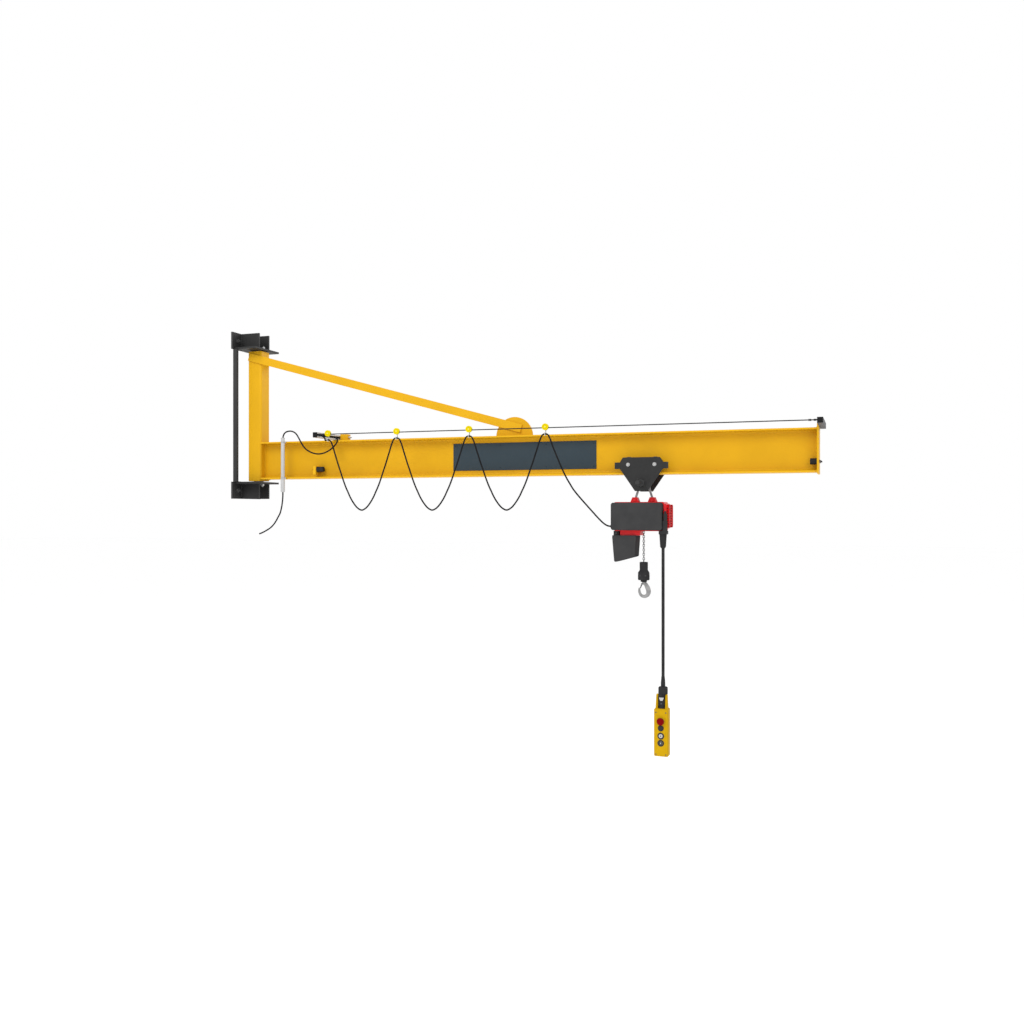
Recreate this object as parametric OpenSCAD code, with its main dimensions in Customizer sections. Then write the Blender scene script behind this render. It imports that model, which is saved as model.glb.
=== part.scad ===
// Wall-mounted slewing jib crane with an electric chain hoist.
// Frame: +X out along the jib, +Y to the far side, +Z up, millimetres.
// Origin: centre of the lower wall plate's back face. The wall is the plane X = 0.

/* [Wall consoles] */
// Width of each wall plate
plate_w = 316; // [300:2:340]
// Height of each wall plate
plate_h = 110; // [106:1:116]
// Thickness of wall plates, cheeks and bearing plates
plate_t = 12; // [10:1:14]
// Height of the upper wall plate's centre above the lower one's
rise = 968; // [960:2:1000]
// Distance between the two anchor holes of a plate
anchor_gap = 210; // [190:2:230]
// Diameter of the anchor holes
anchor_d = 18; // [14:1:20]
// Distance of the slewing axis from the wall
axis_x = 104; // [100:1:110]
// Reach of the cheeks from the wall
cheek_reach = 145; // [130:1:155]
// Outer distance across the two cheeks
cheek_span = 122; // [110:1:130]
// Width of the bearing plates
bearing_w = 272; // [262:2:290]
// Reach of the bearing plates from the wall
bearing_reach = 169; // [160:1:180]
// Diameter of the pivot pins
pin_d = 35; // [30:1:38]
// Diameter of the two spacer tubes
spacer_d = 33.7; // [26.9, 33.7]

/* [Column and jib] */
// Side of the square column
column_s = 100; // [90:1:110]
// Height of the beam above its bottom face
beam_h = 240; // [236:1:244]
// Width of the beam's flanges
beam_b = 120; // [110:1:124]
// Thickness of the beam's web
web_t = 6.2; // [5:0.1:8]
// Thickness of the beam's flanges
flange_t = 9.8; // [8:0.1:12]
// Radius between web and flanges
root_r = 15; // [8:1:18]
// Height of the beam's bottom face
beam_z = 72; // [70:1:76]
// Distance of the beam's outer end from the wall
beam_end = 3616; // [3500:4:3700]
// Slope of the tie in degrees
tie_slope = 15.48; // [15.2:0.02:15.8]
// Width of the tie's flats
tie_w = 50; // [44:1:54]
// Thickness of the tie's flats
tie_t = 10; // [8:1:12]
// Radius of the half-round gusset
gusset_r = 114; // [100:1:120]
// Thickness of the gusset
gusset_t = 15; // [12:1:18]

/* [Cable run] */
// Distance of the tension wire from the beam's middle
wire_y = 280; // [270:1:290]
// Diameter of the tension wire
wire_d = 6; // [4:0.5:6]
// Diameter of the flexible cable
cable_d = 9; // [8:0.5:10]
// Diameter of a cable carrier's disc
disc_d = 38; // [34:1:46]

/* [Trolley] */
// Position of the trolley's centre along the jib
trolley_x = 2668; // [2400:2:2700]
// Half the distance between its axles
axle_dx = 75.5; // [72:0.5:78]
// Diameter of the wheels
wheel_d = 90; // [86:1:94]
// Diameter of the cross bar
bar_d = 26; // [22:1:28]
// Half length of the cross bar
bar_half = 180; // [150:2:200]

/* [Hoist] */
// Length of the black covers
cover_l = 293; // [280:1:296]
// Height of the black covers
cover_h = 156; // [150:1:160]
// Distance of a cover's face from the middle
cover_y = 102; // [98:1:110]
// Side of the motor's square end
motor_s = 130; // [120:1:134]
// Pitch of the load chain
chain_p = 12.7; // [12:0.1:13]
// Diameter of the chain's wire
chain_d = 4; // [3.5:0.1:4.4]

/* [Pendant] */
// Diameter of the control cable
control_d = 16.5; // [14:0.5:18]
// Width of the pendant
pendant_w = 81; // [76:1:86]
// Depth of the pendant
pendant_t = 64; // [60:1:70]
// Turn of the pendant on its cable in degrees
pendant_turn = -1; // [-20:1:10]

/* [Hidden] */
$fn = 48;

yellow = [0.93, 0.68, 0.12];
dark = [0.22, 0.22, 0.23];
black = [0.08, 0.08, 0.09];
red = [0.78, 0.09, 0.12];
zinc = [0.7, 0.71, 0.73];

// Running clearance on the radius, at pins and axles
fit = 0.05;
// Heights that the consoles, the pivots and the column share
low_top = plate_h / 2;
high_bottom = rise - plate_h / 2;
column_z0 = low_top + 6;
column_z1 = high_bottom - 6;
cap_t = 16;
collar_d = 60;
column_x0 = axis_x - column_s / 2;
column_x1 = axis_x + column_s / 2;
beam_top = beam_z + beam_h;
flange_top = beam_z + flange_t;
cheek_drop = plate_h - plate_t;
spacer_x = 17;
spacer_y = bearing_w / 2 - 5;
// Tie: its centreline passes this point
tie_x = 215;
tie_z = 830.5;
gusset_x = 1885;
// Stations along the tie: its start, the two bends and its end
tie_s = [(column_x0 + 6 - tie_x) / cos(tie_slope) + tie_w / 2 * tan(tie_slope),
    (column_x1 + 18 - tie_x) / cos(tie_slope), (gusset_x - 128 - tie_x) / cos(tie_slope),
    (gusset_x + 46 - tie_x) / cos(tie_slope)];
end_t = 10;
end_w = 160;
// Sign between the web's roots
sign_h = beam_h - 2 * (flange_t + root_r + 13);
sign_l = 898;
sign_x = 1491;
// Buffers
buffer_d = 35;
buffer_z = 131;
stop_x = 560;
stop_t = 20;
stop_w = 52;
buffer_l = 46;
end_buffer_l = 37;
// Arms
rail_s = 30;
rail_h = 32;
arm_x = 686;
arm_z = beam_top + 1;
arm_out = 300;
wire_z = 332;
rail_t = 3;
wire_x0 = arm_x + rail_t;
wire_x1 = beam_end + end_t + rail_s - rail_t;
// Cable carriers and the cable on them
carrier_x0 = 780;
carrier_gap = 461.67;
seat_z = 293.1;
disc_z = 337;
disc_t = 16;
yoke_t = 3;
yoke_w = 6;
// Trolley
axle_z = flange_top + wheel_d / 2 + 0.3;
side_y0 = beam_b / 2 + 12;
side_t = 6;
bar_z = 22.5;
axle_d = 16;
// Right-hand edge of a side plate, from the top down, with its buffer lug
side_edge = [[axle_dx + 30.5, axle_z + 41], [axle_dx + 47.5, axle_z + 13],
    [axle_dx + 77.5, axle_z + 13], [axle_dx + 77.5, axle_z - 24],
    [axle_dx + 48.5, axle_z - 24], [axle_dx + 40.5, axle_z - 34], [36, bar_z - 45.5]];
// Hoist
cover_z1 = -88;
hoist_x0 = trolley_x - 172;
hoist_x1 = hoist_x0 + cover_l;
motor_x1 = hoist_x1 + 20;
motor_flare = 6;
cover_z0 = cover_z1 - cover_h;
core_y = 60;
motor_z = -164;
fan_t = 14;
fan_slots = 9;
slot_gap = motor_s / fan_slots;
lug_dx = 50;
leg_w = 12;
bracket_t = 12;
// Right-hand edge of the suspension bracket, from the top down and up the leg's inside
bracket_edge = [[28, 46], [37, -10], [lug_dx + leg_w / 2, -66], [lug_dx + leg_w / 2, -82],
    [lug_dx - leg_w / 2, -82], [lug_dx - leg_w / 2, -66], [25, -8]];
chain_x = trolley_x - 1.5;
chain_z1 = -247;
chain_links = 14;
link_w = 13.6;
box_x0 = hoist_x0 - 1;
box_y = 60;
box_z1 = -274;
block_z1 = -426;
block_z0 = -540;
hook_z = block_z0;
shank_d = 16;
latch_x = -11;
latch_z = -11;
latch_w = 9;
latch_pin = 3;
// Control cable and pendant
control_x = hoist_x1;
control_y = -60;
connector_y = motor_s / 2 + motor_flare;
sleeve_z1 = -266;
sleeve_z0 = -345;
gland_z1 = -1066;
cup_z1 = gland_z1 - 55;
cup_z0 = cup_z1 - 41;
pendant_x = control_x - 6;
pendant_z1 = -1242;
pendant_h = 266;
ear_h = 79;
neck_d = 40;
push = 5;
button_z = [for (d = [68, 107, 150, 190]) pendant_z1 - d];
button_d = [22, 30, 22, 22];

// Half of a hanging loop: distance from its carrier, height
drop = [[0.2, 298], [2, 298], [6, 297.3], [11, 295.5], [15.5, 292.6], [19.3, 288.9],
    [22.3, 284.2], [24.5, 279], [32, 262], [40, 239], [47.5, 215],
    [55.5, 192], [63.5, 168], [71.5, 144], [80, 121], [89, 97], [97.5, 73], [106, 50],
    [115.5, 26], [126, 2], [138, -22], [149, -45], [163, -69], [180, -93], [204, -118]];
// Lowest height of the loops
loop_z = -130;
// Route of the supply cable: bare end, conduit, arch, inner arm, first carrier
supply = [[164, -84, -282], [181, -84, -276], [200, -84, -268], [222, -84, -257],
    [246, -84, -243], [268, -84, -224], [287, -84, -201], [303, -84, -175],
    [318, -84, -150], [327, -84, -122], [333, -84, -94], [337, -84, -65], [339, -84, -38],
    [339, -84, -10], [339, -84, 17], [339, -84, 44], [339, -84, 71], [339, -84, 98],
    [339, -84, 125], [339, -84, 152], [339, -84, 179], [339, -84, 206], [339, -84, 233],
    [339, -84, 260], [339, -84, 287], [339, -84, 314], [340, -84, 336], [346, -84, 356],
    [363, -84, 371], [386, -84, 376], [411, -84, 373], [432, -84, 362], [448, -84, 343],
    [461, -84, 322], [474, -84, 300], [489, -84, 278], [509, -84, 258], [535, -84, 242],
    [565, -84, 231], [600, -83, 226], [632, -82, 230], [660, -80, 240], [684, -76, 255],
    [704, -71, 274], [718, -66, 293], [724, -64, 311], [722, -64, 322], [713, -65, 328],
    [704, -70, 329], [701, -82, 329], [701, -108, 329], [701, -134, 329], [701, -160, 329],
    [701, -186, 329], [701, -212, 329], [701, -236, 329], [704, -252, 329],
    [713, -261, 328], [727, -265, 325], [744, -270, 317], [760, -277, 306],
    [769, -280, 300.2], [778, -280, 298], [779.8, -280, 298]];
// Route of the last stretch, from the fourth carrier to the hoist
last = [[2165.2, -280, 298], [2167, -280, 298], [2171, -280, 297.3], [2176, -280, 295.5],
    [2180.5, -280, 292.6], [2184.3, -280, 288.7], [2187.4, -279.7, 283.8],
    [2189.9, -279.3, 278], [2196, -278, 262], [2203, -275, 240], [2210, -271, 218], [2218, -265, 196],
    [2225, -258, 174], [2233, -250, 151], [2240, -243, 129], [2248, -235, 107],
    [2257, -228, 84], [2266, -220, 62], [2276, -212, 40], [2288, -204, 17], [2300, -196, -6.2],
    [2315, -187.2, -29.2], [2330.2, -178.5, -49.7], [2345.5, -170.6, -69.4],
    [2360.9, -162.6, -88.7], [2376.4, -154.9, -107.7], [2391.8, -147.1, -126.7],
    [2407.2, -139, -145.8], [2422.6, -131.1, -164.7], [2435.4, -124, -180],
    [2446.9, -116.6, -193.2], [2457.8, -109.1, -204.4], [2467.8, -102.4, -212.8],
    [2476.8, -96.6, -218.3], [2485.1, -92.3, -221], [2491, -90, -222.2], [2491.8, -90, -222.2]];

// Conduit round the supply cable's upright stretch, and the inlet at the last stretch's end
conduit_x = supply[20][0];
conduit_y = supply[20][1];
conduit_d = 24;
inlet = last[len(last) - 1];
inlet_d = 14;

function unit(v) = v / norm(v);
function flip(list) = [for (i = [len(list) - 1:-1:0]) list[i]];
// Frame across a path at one of its points
function along(p, i) = unit(p[min(i + 1, len(p) - 1)] - p[max(i - 1, 0)]);
function side(t) = unit(cross(t, abs(t[1]) < 0.9 ? [0, 1, 0] : [1, 0, 0]));
function ring(p, i, rx, ry, n) = let (t = along(p, i), a = side(t), b = cross(t, a))
    [for (k = [0:n - 1]) p[i] + a * rx * cos(360 * k / n) + b * ry * sin(360 * k / n)];
// Points of a loop that hangs between the carriers n and n + 1
function loop_route(n) = let (x0 = carrier_x(n), x1 = carrier_x(n + 1)) concat(
    [for (q = drop) [x0 + q[0], -wire_y, q[1]]], [[(x0 + x1) / 2, -wire_y, loop_z]],
    [for (q = flip(drop)) [x1 - q[0], -wire_y, q[1]]]);
function carrier_x(n) = carrier_x0 + carrier_gap * (n - 1);
// Corners of a polygon rounded to a radius, each with steps + 1 points
function round_corner(a, b, c, r, steps) = let (u = unit(a - b), v = unit(c - b),
    half = acos(u * v) / 2, back = r / tan(half), mid = b + unit(u + v) * r / sin(half),
    s = b + u * back - mid, e = b + v * back - mid)
    [for (k = [0:steps]) mid + unit(s * (steps - k) + e * k) * r];
function rounded(p, r, steps = 5) = let (n = len(p)) [for (i = [0:n - 1])
    each round_corner(p[(i + n - 1) % n], p[i], p[(i + 1) % n], r, steps)];

// Tube of n sides with the radii rx and ry of each point
module sweep(p, rx, ry, n = 8) {
    m = len(p);
    faces = concat([[for (k = [0:n - 1]) k]],
        [for (i = [0:m - 2]) for (k = [0:n - 1]) [i * n + k, (i + 1) * n + k,
            (i + 1) * n + (k + 1) % n, i * n + (k + 1) % n]],
        [[for (k = [0:n - 1]) m * n - 1 - k]]);
    polyhedron([for (i = [0:m - 1]) each ring(p, i, rx[i], ry[i], n)], faces);
}
module cable(p, d, n = 8) {
    r = [for (q = p) d / 2];
    sweep(p, r, r, n);
}
module rod_x(x0, x1, y, z, d) {
    translate([x0, y, z]) rotate([0, 90, 0]) cylinder(h = x1 - x0, d = d);
}
module rod_y(x, y0, y1, z, d) {
    translate([x, y1, z]) rotate([90, 0, 0]) cylinder(h = y1 - y0, d = d);
}
module rod_z(x, y, z0, z1, d) {
    translate([x, y, z0]) cylinder(h = z1 - z0, d = d);
}
// Box from its lowest to its highest corner
module block(a, b) {
    translate(a) cube(b - a);
}
// Plate with an outline in X and Z, from y0 to y1
module plate_xz(y0, y1) {
    translate([0, y1, 0]) rotate([90, 0, 0]) linear_extrude(y1 - y0) children();
}
// Plate with an outline in Y and Z, from x0 to x1
module plate_yz(x0, x1) {
    translate([x0, 0, 0]) rotate([90, 0, 90]) linear_extrude(x1 - x0) children();
}
module round_square(w, h, r) {
    square([w - 2 * r, h], center = true);
    square([w, h - 2 * r], center = true);
    for (a = [-1, 1]) for (b = [-1, 1])
        translate([a * (w / 2 - r), b * (h / 2 - r)]) circle(r);
}

// Wall plate with its two cheeks and its bearing plate; up is 1 or -1
module console(z, up) {
    inner = cheek_span / 2 - plate_t;
    face = z - up * plate_h / 2;
    difference() {
        block([0, -plate_w / 2, z - plate_h / 2], [plate_t, plate_w / 2, z + plate_h / 2]);
        for (s = [-1, 1]) rod_x(-1, plate_t + 1, s * anchor_gap / 2, z, anchor_d);
    }
    z0 = up > 0 ? face : face - plate_t;
    difference() {
        block([plate_t, -bearing_w / 2, z0], [bearing_reach, bearing_w / 2, z0 + plate_t]);
        rod_z(axis_x, 0, z0 - 1, z0 + plate_t + 1, pin_d);
    }
    c0 = up > 0 ? z0 + plate_t : z0 - cheek_drop;
    for (s = [-1, 1]) translate([0, s * (inner + plate_t / 2), 0])
        block([plate_t, -plate_t / 2, c0], [cheek_reach, plate_t / 2, c0 + cheek_drop]);
}
module lower_console() color(dark) console(0, -1);
module upper_console() color(dark) console(rise, 1);

module spacer_tubes() color(dark) for (s = [-1, 1])
    translate([spacer_x, s * spacer_y, 0]) difference() {
        rod_z(0, 0, low_top, high_bottom, spacer_d);
        rod_z(0, 0, low_top - 1, high_bottom + 1, spacer_d - 6);
    }

// Pins with their thrust collars, fixed in the bearing plates
module pivot_pins() color(zinc) {
    rod_z(axis_x, 0, low_top - plate_t - 8, column_z0 + cap_t + 4, pin_d);
    rod_z(axis_x, 0, low_top, column_z0 - 0.3, collar_d);
    rod_z(axis_x, 0, column_z1 - cap_t - 4, high_bottom + plate_t + 8, pin_d);
    rod_z(axis_x, 0, column_z1 + 0.3, high_bottom, collar_d);
}

module column() color(yellow) translate([axis_x, 0, 0]) difference() {
    translate([0, 0, column_z0]) linear_extrude(column_z1 - column_z0)
        round_square(column_s, column_s, 12);
    translate([0, 0, column_z0 + cap_t]) linear_extrude(column_z1 - column_z0 - 2 * cap_t)
        round_square(column_s - 12, column_s - 12, 6);
    rod_z(0, 0, column_z0 - 1, column_z1 + 1, pin_d + 2 * fit);
}

module i_section() difference() {
    square([beam_b, beam_h], center = true);
    for (s = [-1, 1]) mirror([s > 0 ? 0 : 1, 0]) {
        hi = beam_h / 2 - flange_t;
        translate([web_t / 2 + root_r, -hi]) square([beam_b, 2 * hi]);
        translate([web_t / 2, root_r - hi]) square([beam_b, 2 * (hi - root_r)]);
        for (t = [-1, 1]) translate([web_t / 2 + root_r, t * (hi - root_r)]) circle(root_r);
    }
}
module jib_beam() color(yellow) plate_yz(column_x1, beam_end)
    translate([0, beam_z + beam_h / 2]) i_section();

// Two flats from the column's sides to the faces of the gusset
module tie_straps() color(yellow) translate([tie_x, 0, tie_z]) rotate([0, tie_slope, 0])
    for (s = [0, 1]) mirror([0, s, 0]) translate([0, 0, -tie_w / 2]) linear_extrude(tie_w) {
        a = column_s / 2;
        b = gusset_t / 2;
        polygon([[tie_s[0], a], [tie_s[1], a], [tie_s[2], b], [tie_s[3], b],
            [tie_s[3], b + tie_t], [tie_s[2], b + tie_t], [tie_s[1], a + tie_t],
            [tie_s[0], a + tie_t]]);
    }

module gusset_plate() color(yellow) plate_xz(-gusset_t / 2, gusset_t / 2)
    translate([gusset_x, beam_top]) intersection() {
        circle(gusset_r, $fn = 96);
        translate([-gusset_r, 0]) square([2 * gusset_r, gusset_r + 1]);
    }

module end_plate() color(yellow)
    block([beam_end, -end_w / 2, beam_z - 8], [beam_end + end_t, end_w / 2, beam_top + 20]);

module inner_stop() color(yellow) for (s = [0, 1]) mirror([0, s, 0])
    block([stop_x - stop_t, web_t / 2, flange_top + root_r + 0.5],
        [stop_x, stop_w, buffer_z + stop_t]);

module rubber_buffers() color(black) for (s = [-1, 1]) {
    rod_x(stop_x, stop_x + buffer_l, s * 30, buffer_z, buffer_d);
    rod_x(beam_end - end_buffer_l, beam_end, s * 30, buffer_z, buffer_d);
}

// Channel with lips, open to the right
module c_section(w, h) difference() {
    square([w, h]);
    translate([rail_t, rail_t]) square([w - 2 * rail_t, h - 2 * rail_t]);
    translate([w - rail_t - 1, h / 2 - 7]) square([rail_t + 2, 14]);
}
module inner_arm() color(zinc) plate_xz(-arm_out, 40)
    translate([arm_x, arm_z]) c_section(rail_s, rail_h);
module outer_arm() color(zinc) plate_xz(-arm_out, 110)
    translate([beam_end + end_t + rail_s, arm_z + 2]) mirror([1, 0]) c_section(rail_s, rail_s);
module arm_bracket() color(yellow)
    block([arm_x + rail_s, -15, beam_top], [arm_x + rail_s + 52, 25, beam_top + 40]);

module tension_wire() color(dark) rod_x(wire_x0, wire_x1, -wire_y, wire_z, wire_d);

module sign_plate() color([0.2, 0.22, 0.26])
    translate([0, 0, beam_z + beam_h / 2]) block([sign_x, -web_t / 2 - 3, -sign_h / 2],
        [sign_x + sign_l, -web_t / 2, sign_h / 2]);

// Conduit with the two clips that hold it on the flanges
module conduit() color([0.82, 0.82, 0.83]) {
    difference() {
        rod_z(conduit_x, conduit_y, -13, 334, conduit_d);
        rod_z(conduit_x, conduit_y, -14, 335, conduit_d - 5);
    }
    for (z = [beam_z, beam_top - flange_t])
        block([conduit_x - 8, conduit_y + conduit_d / 2 - 1, z],
            [conduit_x + 8, -beam_b / 2, z + flange_t]);
}

module supply_cable() color(black) cable(supply, cable_d);
module festoon_1() color(black) cable(loop_route(1), cable_d);
module festoon_2() color(black) cable(loop_route(2), cable_d);
module festoon_3() color(black) cable(loop_route(3), cable_d);
module festoon_4() color(black) cable(last, cable_d);

// Disc on the wire, with two straps that hold the cable's seat under it
module carrier(n) translate([carrier_x(n), -wire_y, 0]) {
    color([0.95, 0.85, 0.1]) difference() {
        rod_y(0, -disc_t / 2, disc_t / 2, disc_z, disc_d);
        rod_x(-disc_d, disc_d, 0, wire_z, wire_d + 1);
    }
    color(zinc) difference() {
        block([-yoke_w / 2, -disc_t / 2 - yoke_t, seat_z - yoke_w],
            [yoke_w / 2, disc_t / 2 + yoke_t, disc_z]);
        block([-yoke_w, -disc_t / 2, seat_z], [yoke_w, disc_t / 2, disc_z + 1]);
    }
}
module carrier_1() carrier(1);
module carrier_2() carrier(2);
module carrier_3() carrier(3);
module carrier_4() carrier(4);

// Side plates with the studs that the wheels turn on
module trolley_plates() color(dark) translate([trolley_x, 0, 0])
    for (s = [0, 1]) mirror([0, s, 0]) {
        difference() {
            plate_xz(side_y0, side_y0 + side_t) polygon(concat(side_edge,
                [for (q = flip(side_edge)) [-q[0], q[1]]]));
            rod_y(0, side_y0 - 1, side_y0 + side_t + 1, bar_z, bar_d);
        }
        for (d = [-axle_dx, axle_dx]) rod_y(d, 28, side_y0, axle_z, axle_d);
    }
module wheel_pair(x) color(dark) for (s = [0, 1]) mirror([0, s, 0]) difference() {
    union() {
        rod_y(x, 29, 57, axle_z, wheel_d);
        rod_y(x, 57, side_y0 - 2, axle_z, 40);
    }
    rod_y(x, 28, side_y0, axle_z, axle_d + 2 * fit);
}
module front_wheels() wheel_pair(trolley_x + axle_dx);
module rear_wheels() wheel_pair(trolley_x - axle_dx);

module cross_bar() color(dark) {
    rod_y(trolley_x, -bar_half, bar_half, bar_z, bar_d);
    for (s = [0, 1]) mirror([0, s, 0]) {
        rod_y(trolley_x, side_y0 + side_t, side_y0 + side_t + 16, bar_z, 40);
        rod_y(trolley_x, bracket_t / 2 + 1, side_y0, bar_z, 34);
    }
}

// Plate that rides on the cross bar, with two legs to the hoist's lugs
module suspension_bracket() color(zinc) translate([trolley_x, 0, 0]) difference() {
    plate_xz(-bracket_t / 2, bracket_t / 2) polygon(concat(bracket_edge,
        [for (q = flip(bracket_edge)) [-q[0], q[1]]]));
    rod_y(0, -bracket_t, bracket_t, bar_z, bar_d);
}

module motor_slice(x0, x1, w) plate_yz(x0, x1) translate([0, motor_z]) round_square(w, w, 12);
// Housing between the covers, with the motor, the lugs and the chain guide
module hoist_body() color(red) {
    plate_xz(-core_y, core_y) polygon(rounded([[hoist_x0 + 10, cover_z0 - 5],
        [hoist_x1 + 6, cover_z0 - 5], [hoist_x1 + 6, cover_z1 + 4],
        [hoist_x0 + 10, cover_z1 + 4]], 10));
    hull() {
        motor_slice(hoist_x1 + 6, hoist_x1 + 14, motor_s + 2 * motor_flare);
        motor_slice(motor_x1 - 1, motor_x1, motor_s);
    }
    for (d = [-lug_dx, lug_dx]) for (s = [0, 1]) translate([trolley_x + d, 0, 0])
        mirror([0, s, 0]) plate_xz(bracket_t / 2, 20)
            polygon([[-25, cover_z1 + 4], [25, cover_z1 + 4], [14, -57], [-14, -57]]);
    block([hoist_x0 + 44, -48, box_z1], [chain_x - 12, 48, cover_z0 - 5]);
}
module cover() {
    outline = [[hoist_x0, cover_z0], [hoist_x1, cover_z0], [hoist_x1, cover_z1],
        [hoist_x0, cover_z1]];
    in = [[7, 7], [-7, 7], [-7, -7], [7, -7]];
    hull() {
        plate_xz(-cover_y + 12, -core_y) polygon(rounded(outline, 14));
        plate_xz(-cover_y + 4, -core_y) polygon(rounded(outline + in * 0.3, 13));
        plate_xz(-cover_y, -core_y) polygon(rounded(outline + in, 10));
    }
}
module hoist_covers() color(black) {
    for (s = [0, 1]) mirror([0, s, 0]) cover();
    rod_x(inlet[0] + 0.2, hoist_x0 + 3, inlet[1], inlet[2], inlet_d);
}

// Cover of the motor's fan, with slots across its end face
module fan_cover() color(red) difference() {
    motor_slice(motor_x1, motor_x1 + fan_t, motor_s);
    for (i = [0:fan_slots - 1]) translate([motor_x1 + fan_t - 5, 0, motor_z])
        block([0, 8 - motor_s / 2, (i + 0.5) * slot_gap - motor_s / 2 - 3],
            [6, motor_s / 4, (i + 0.5) * slot_gap - motor_s / 2 + 3]);
}

// Open box that takes the slack chain, with the lug that hangs it on the hoist
module chain_container() color(black) {
    difference() {
        translate([box_x0, 0, box_z1]) plate_xz(-box_y, box_y)
            polygon(rounded([[0, 0], [139, 0], [130, -122], [13, -154]], 9));
        translate([box_x0, 0, box_z1]) plate_xz(4 - box_y, box_y - 4)
            polygon([[5, 1], [134, 1], [126, -119], [17.5, -148]]);
    }
    block([box_x0 + 2, -box_y / 2, box_z1 - 4], [box_x0 + 35, box_y / 2, cover_z0 - 5]);
}

// One link, standing in the XZ plane and turned about the chain
module link(turn) rotate([0, 0, turn]) rotate([90, 0, 0]) {
    r = (link_w - chain_d) / 2;
    h = (chain_p + chain_d) / 2 - r;
    for (s = [0, 1]) mirror([0, s, 0]) translate([0, h, 0])
        rotate_extrude(angle = 180, $fn = 16) translate([r, 0]) circle(d = chain_d, $fn = 16);
    for (s = [-1, 1]) translate([s * r, h, 0]) rotate([90, 0, 0])
        cylinder(h = 2 * h, d = chain_d, $fn = 16);
}
module load_chain() color(zinc) for (i = [0:chain_links - 1])
    translate([chain_x, 0, chain_z1 - chain_p / 2 - chain_d - (chain_p - 0.1) * i])
        link(i % 2 == 0 ? 45 : -45);

module cable_connector() color(black) {
    hull() {
        block([hoist_x1, -connector_y - 19, cover_z0 - 7],
            [hoist_x1 + 28, -connector_y, motor_z - 26]);
        block([hoist_x1 + 11, -connector_y - 15, motor_z + 14],
            [hoist_x1 + 21, -connector_y, motor_z + 29]);
    }
    block([control_x - 21, -connector_y - 19, sleeve_z1], [control_x + 25, -38, cover_z0 - 7]);
    translate([control_x, control_y, 0]) {
        translate([0, 0, sleeve_z0 + 8]) cylinder(h = sleeve_z1 - sleeve_z0 - 8, d1 = 33, d2 = 42);
        translate([0, 0, sleeve_z0]) cylinder(h = 8, d1 = control_d + 3, d2 = 33);
    }
}
module control_cable() color(black)
    cable([for (k = [0:18]) [control_x, control_y, sleeve_z0 + (gland_z1 - sleeve_z0) * k / 18]],
        control_d, 12);

module at_pendant() translate([pendant_x, control_y, 0]) rotate([0, 0, pendant_turn]) children();
module button_hole(z, d) rod_y(0, -pendant_t / 2 - 1, -pendant_t / 2 + 20, z, d + 1);
module pendant_body() color(yellow) at_pendant() {
    difference() {
        translate([0, 0, pendant_z1 - pendant_h]) linear_extrude(pendant_h)
            round_square(pendant_w, pendant_t, 9);
        for (i = [0:3]) button_hole(button_z[i], button_d[i]);
    }
    for (s = [0, 1]) mirror([s, 0, 0]) hull() {
        block([neck_d / 2 + 0.3, -20, pendant_z1], [34, 20, pendant_z1 + 4]);
        block([neck_d / 2 + 0.3, -10, pendant_z1 + ear_h - 4], [31, 10, pendant_z1 + ear_h]);
    }
}
module pendant_gland() color(black) {
    translate([control_x, control_y, cup_z1])
        cylinder(h = gland_z1 - cup_z1, d1 = 25.5, d2 = control_d + 2);
    rod_z(control_x, control_y, cup_z0, cup_z1, 53);
    rod_z(pendant_x, control_y, pendant_z1, cup_z0, neck_d);
}
// Push button i: its head stands out by h, its stem reaches into the pendant
module button(i, head, h) at_pendant() {
    rod_y(0, -pendant_t / 2 - h + 1, -pendant_t / 2 + 20 - push - 1, button_z[i], button_d[i]);
    rod_y(0, -pendant_t / 2 - h, -pendant_t / 2 - push - 1, button_z[i], head);
}
module stop_button() color(red) button(0, 42, 20);
module black_button() color(black) button(1, button_d[1], 8);
module white_button() color([0.9, 0.9, 0.9]) button(2, button_d[2], 7);
module grey_button() color([0.6, 0.6, 0.6]) button(3, button_d[3], 7);

module hook_block() color(black) translate([chain_x, 0, 0]) difference() {
    rotate_extrude() polygon([[0, block_z1], [20, block_z1], [23.5, block_z1 - 4],
        [23.5, -474], [31.3, -484], [33, -524], [31.5, -529], [18, -531], [18, block_z0],
        [0, block_z0]]);
    rod_z(0, 0, block_z0 - 1, block_z0 + 30, shank_d + 2 * fit);
    rod_z(0, 0, block_z0 + 18, block_z0 + 30, 26);
    rod_z(0, 0, block_z1 - 14, block_z1 + 1, link_w + 1.4);
}

// Middle line of the hook, with half its thickness in the plane and across it
hook_line = [[0, -2], [1, -11], [6, -18], [14, -24], [21, -32], [27.5, -42], [30, -53],
    [28, -64], [21, -75], [11, -80], [0, -82], [-10, -79], [-18, -73], [-23, -64],
    [-26, -54], [-27, -45], [-27, -38], [-26, -34]];
hook_half = [6.5, 7.8, 8.5, 8.5, 8.8, 10.5, 11.5, 11.5, 10, 9.2, 8.5, 8, 7.5, 6.5, 5.5, 4.5, 3.5, 2];
module load_hook() color(zinc) translate([chain_x, 0, hook_z]) {
    rod_z(0, 0, -6, 24, shank_d);
    rod_z(0, 0, 19, 26, 24);
    sweep([for (q = hook_line) [q[0], 0, q[1]]], hook_half, hook_half * 0.85, 14);
    rod_y(latch_x, -latch_w / 2 - 2.5, latch_w / 2 + 2.5, latch_z, latch_pin);
    for (s = [0, 1]) mirror([0, s, 0])
        block([latch_x - 3, latch_w / 2 + 0.3, latch_z - 4], [-3, latch_w / 2 + 2.5, latch_z + 4]);
}
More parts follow.
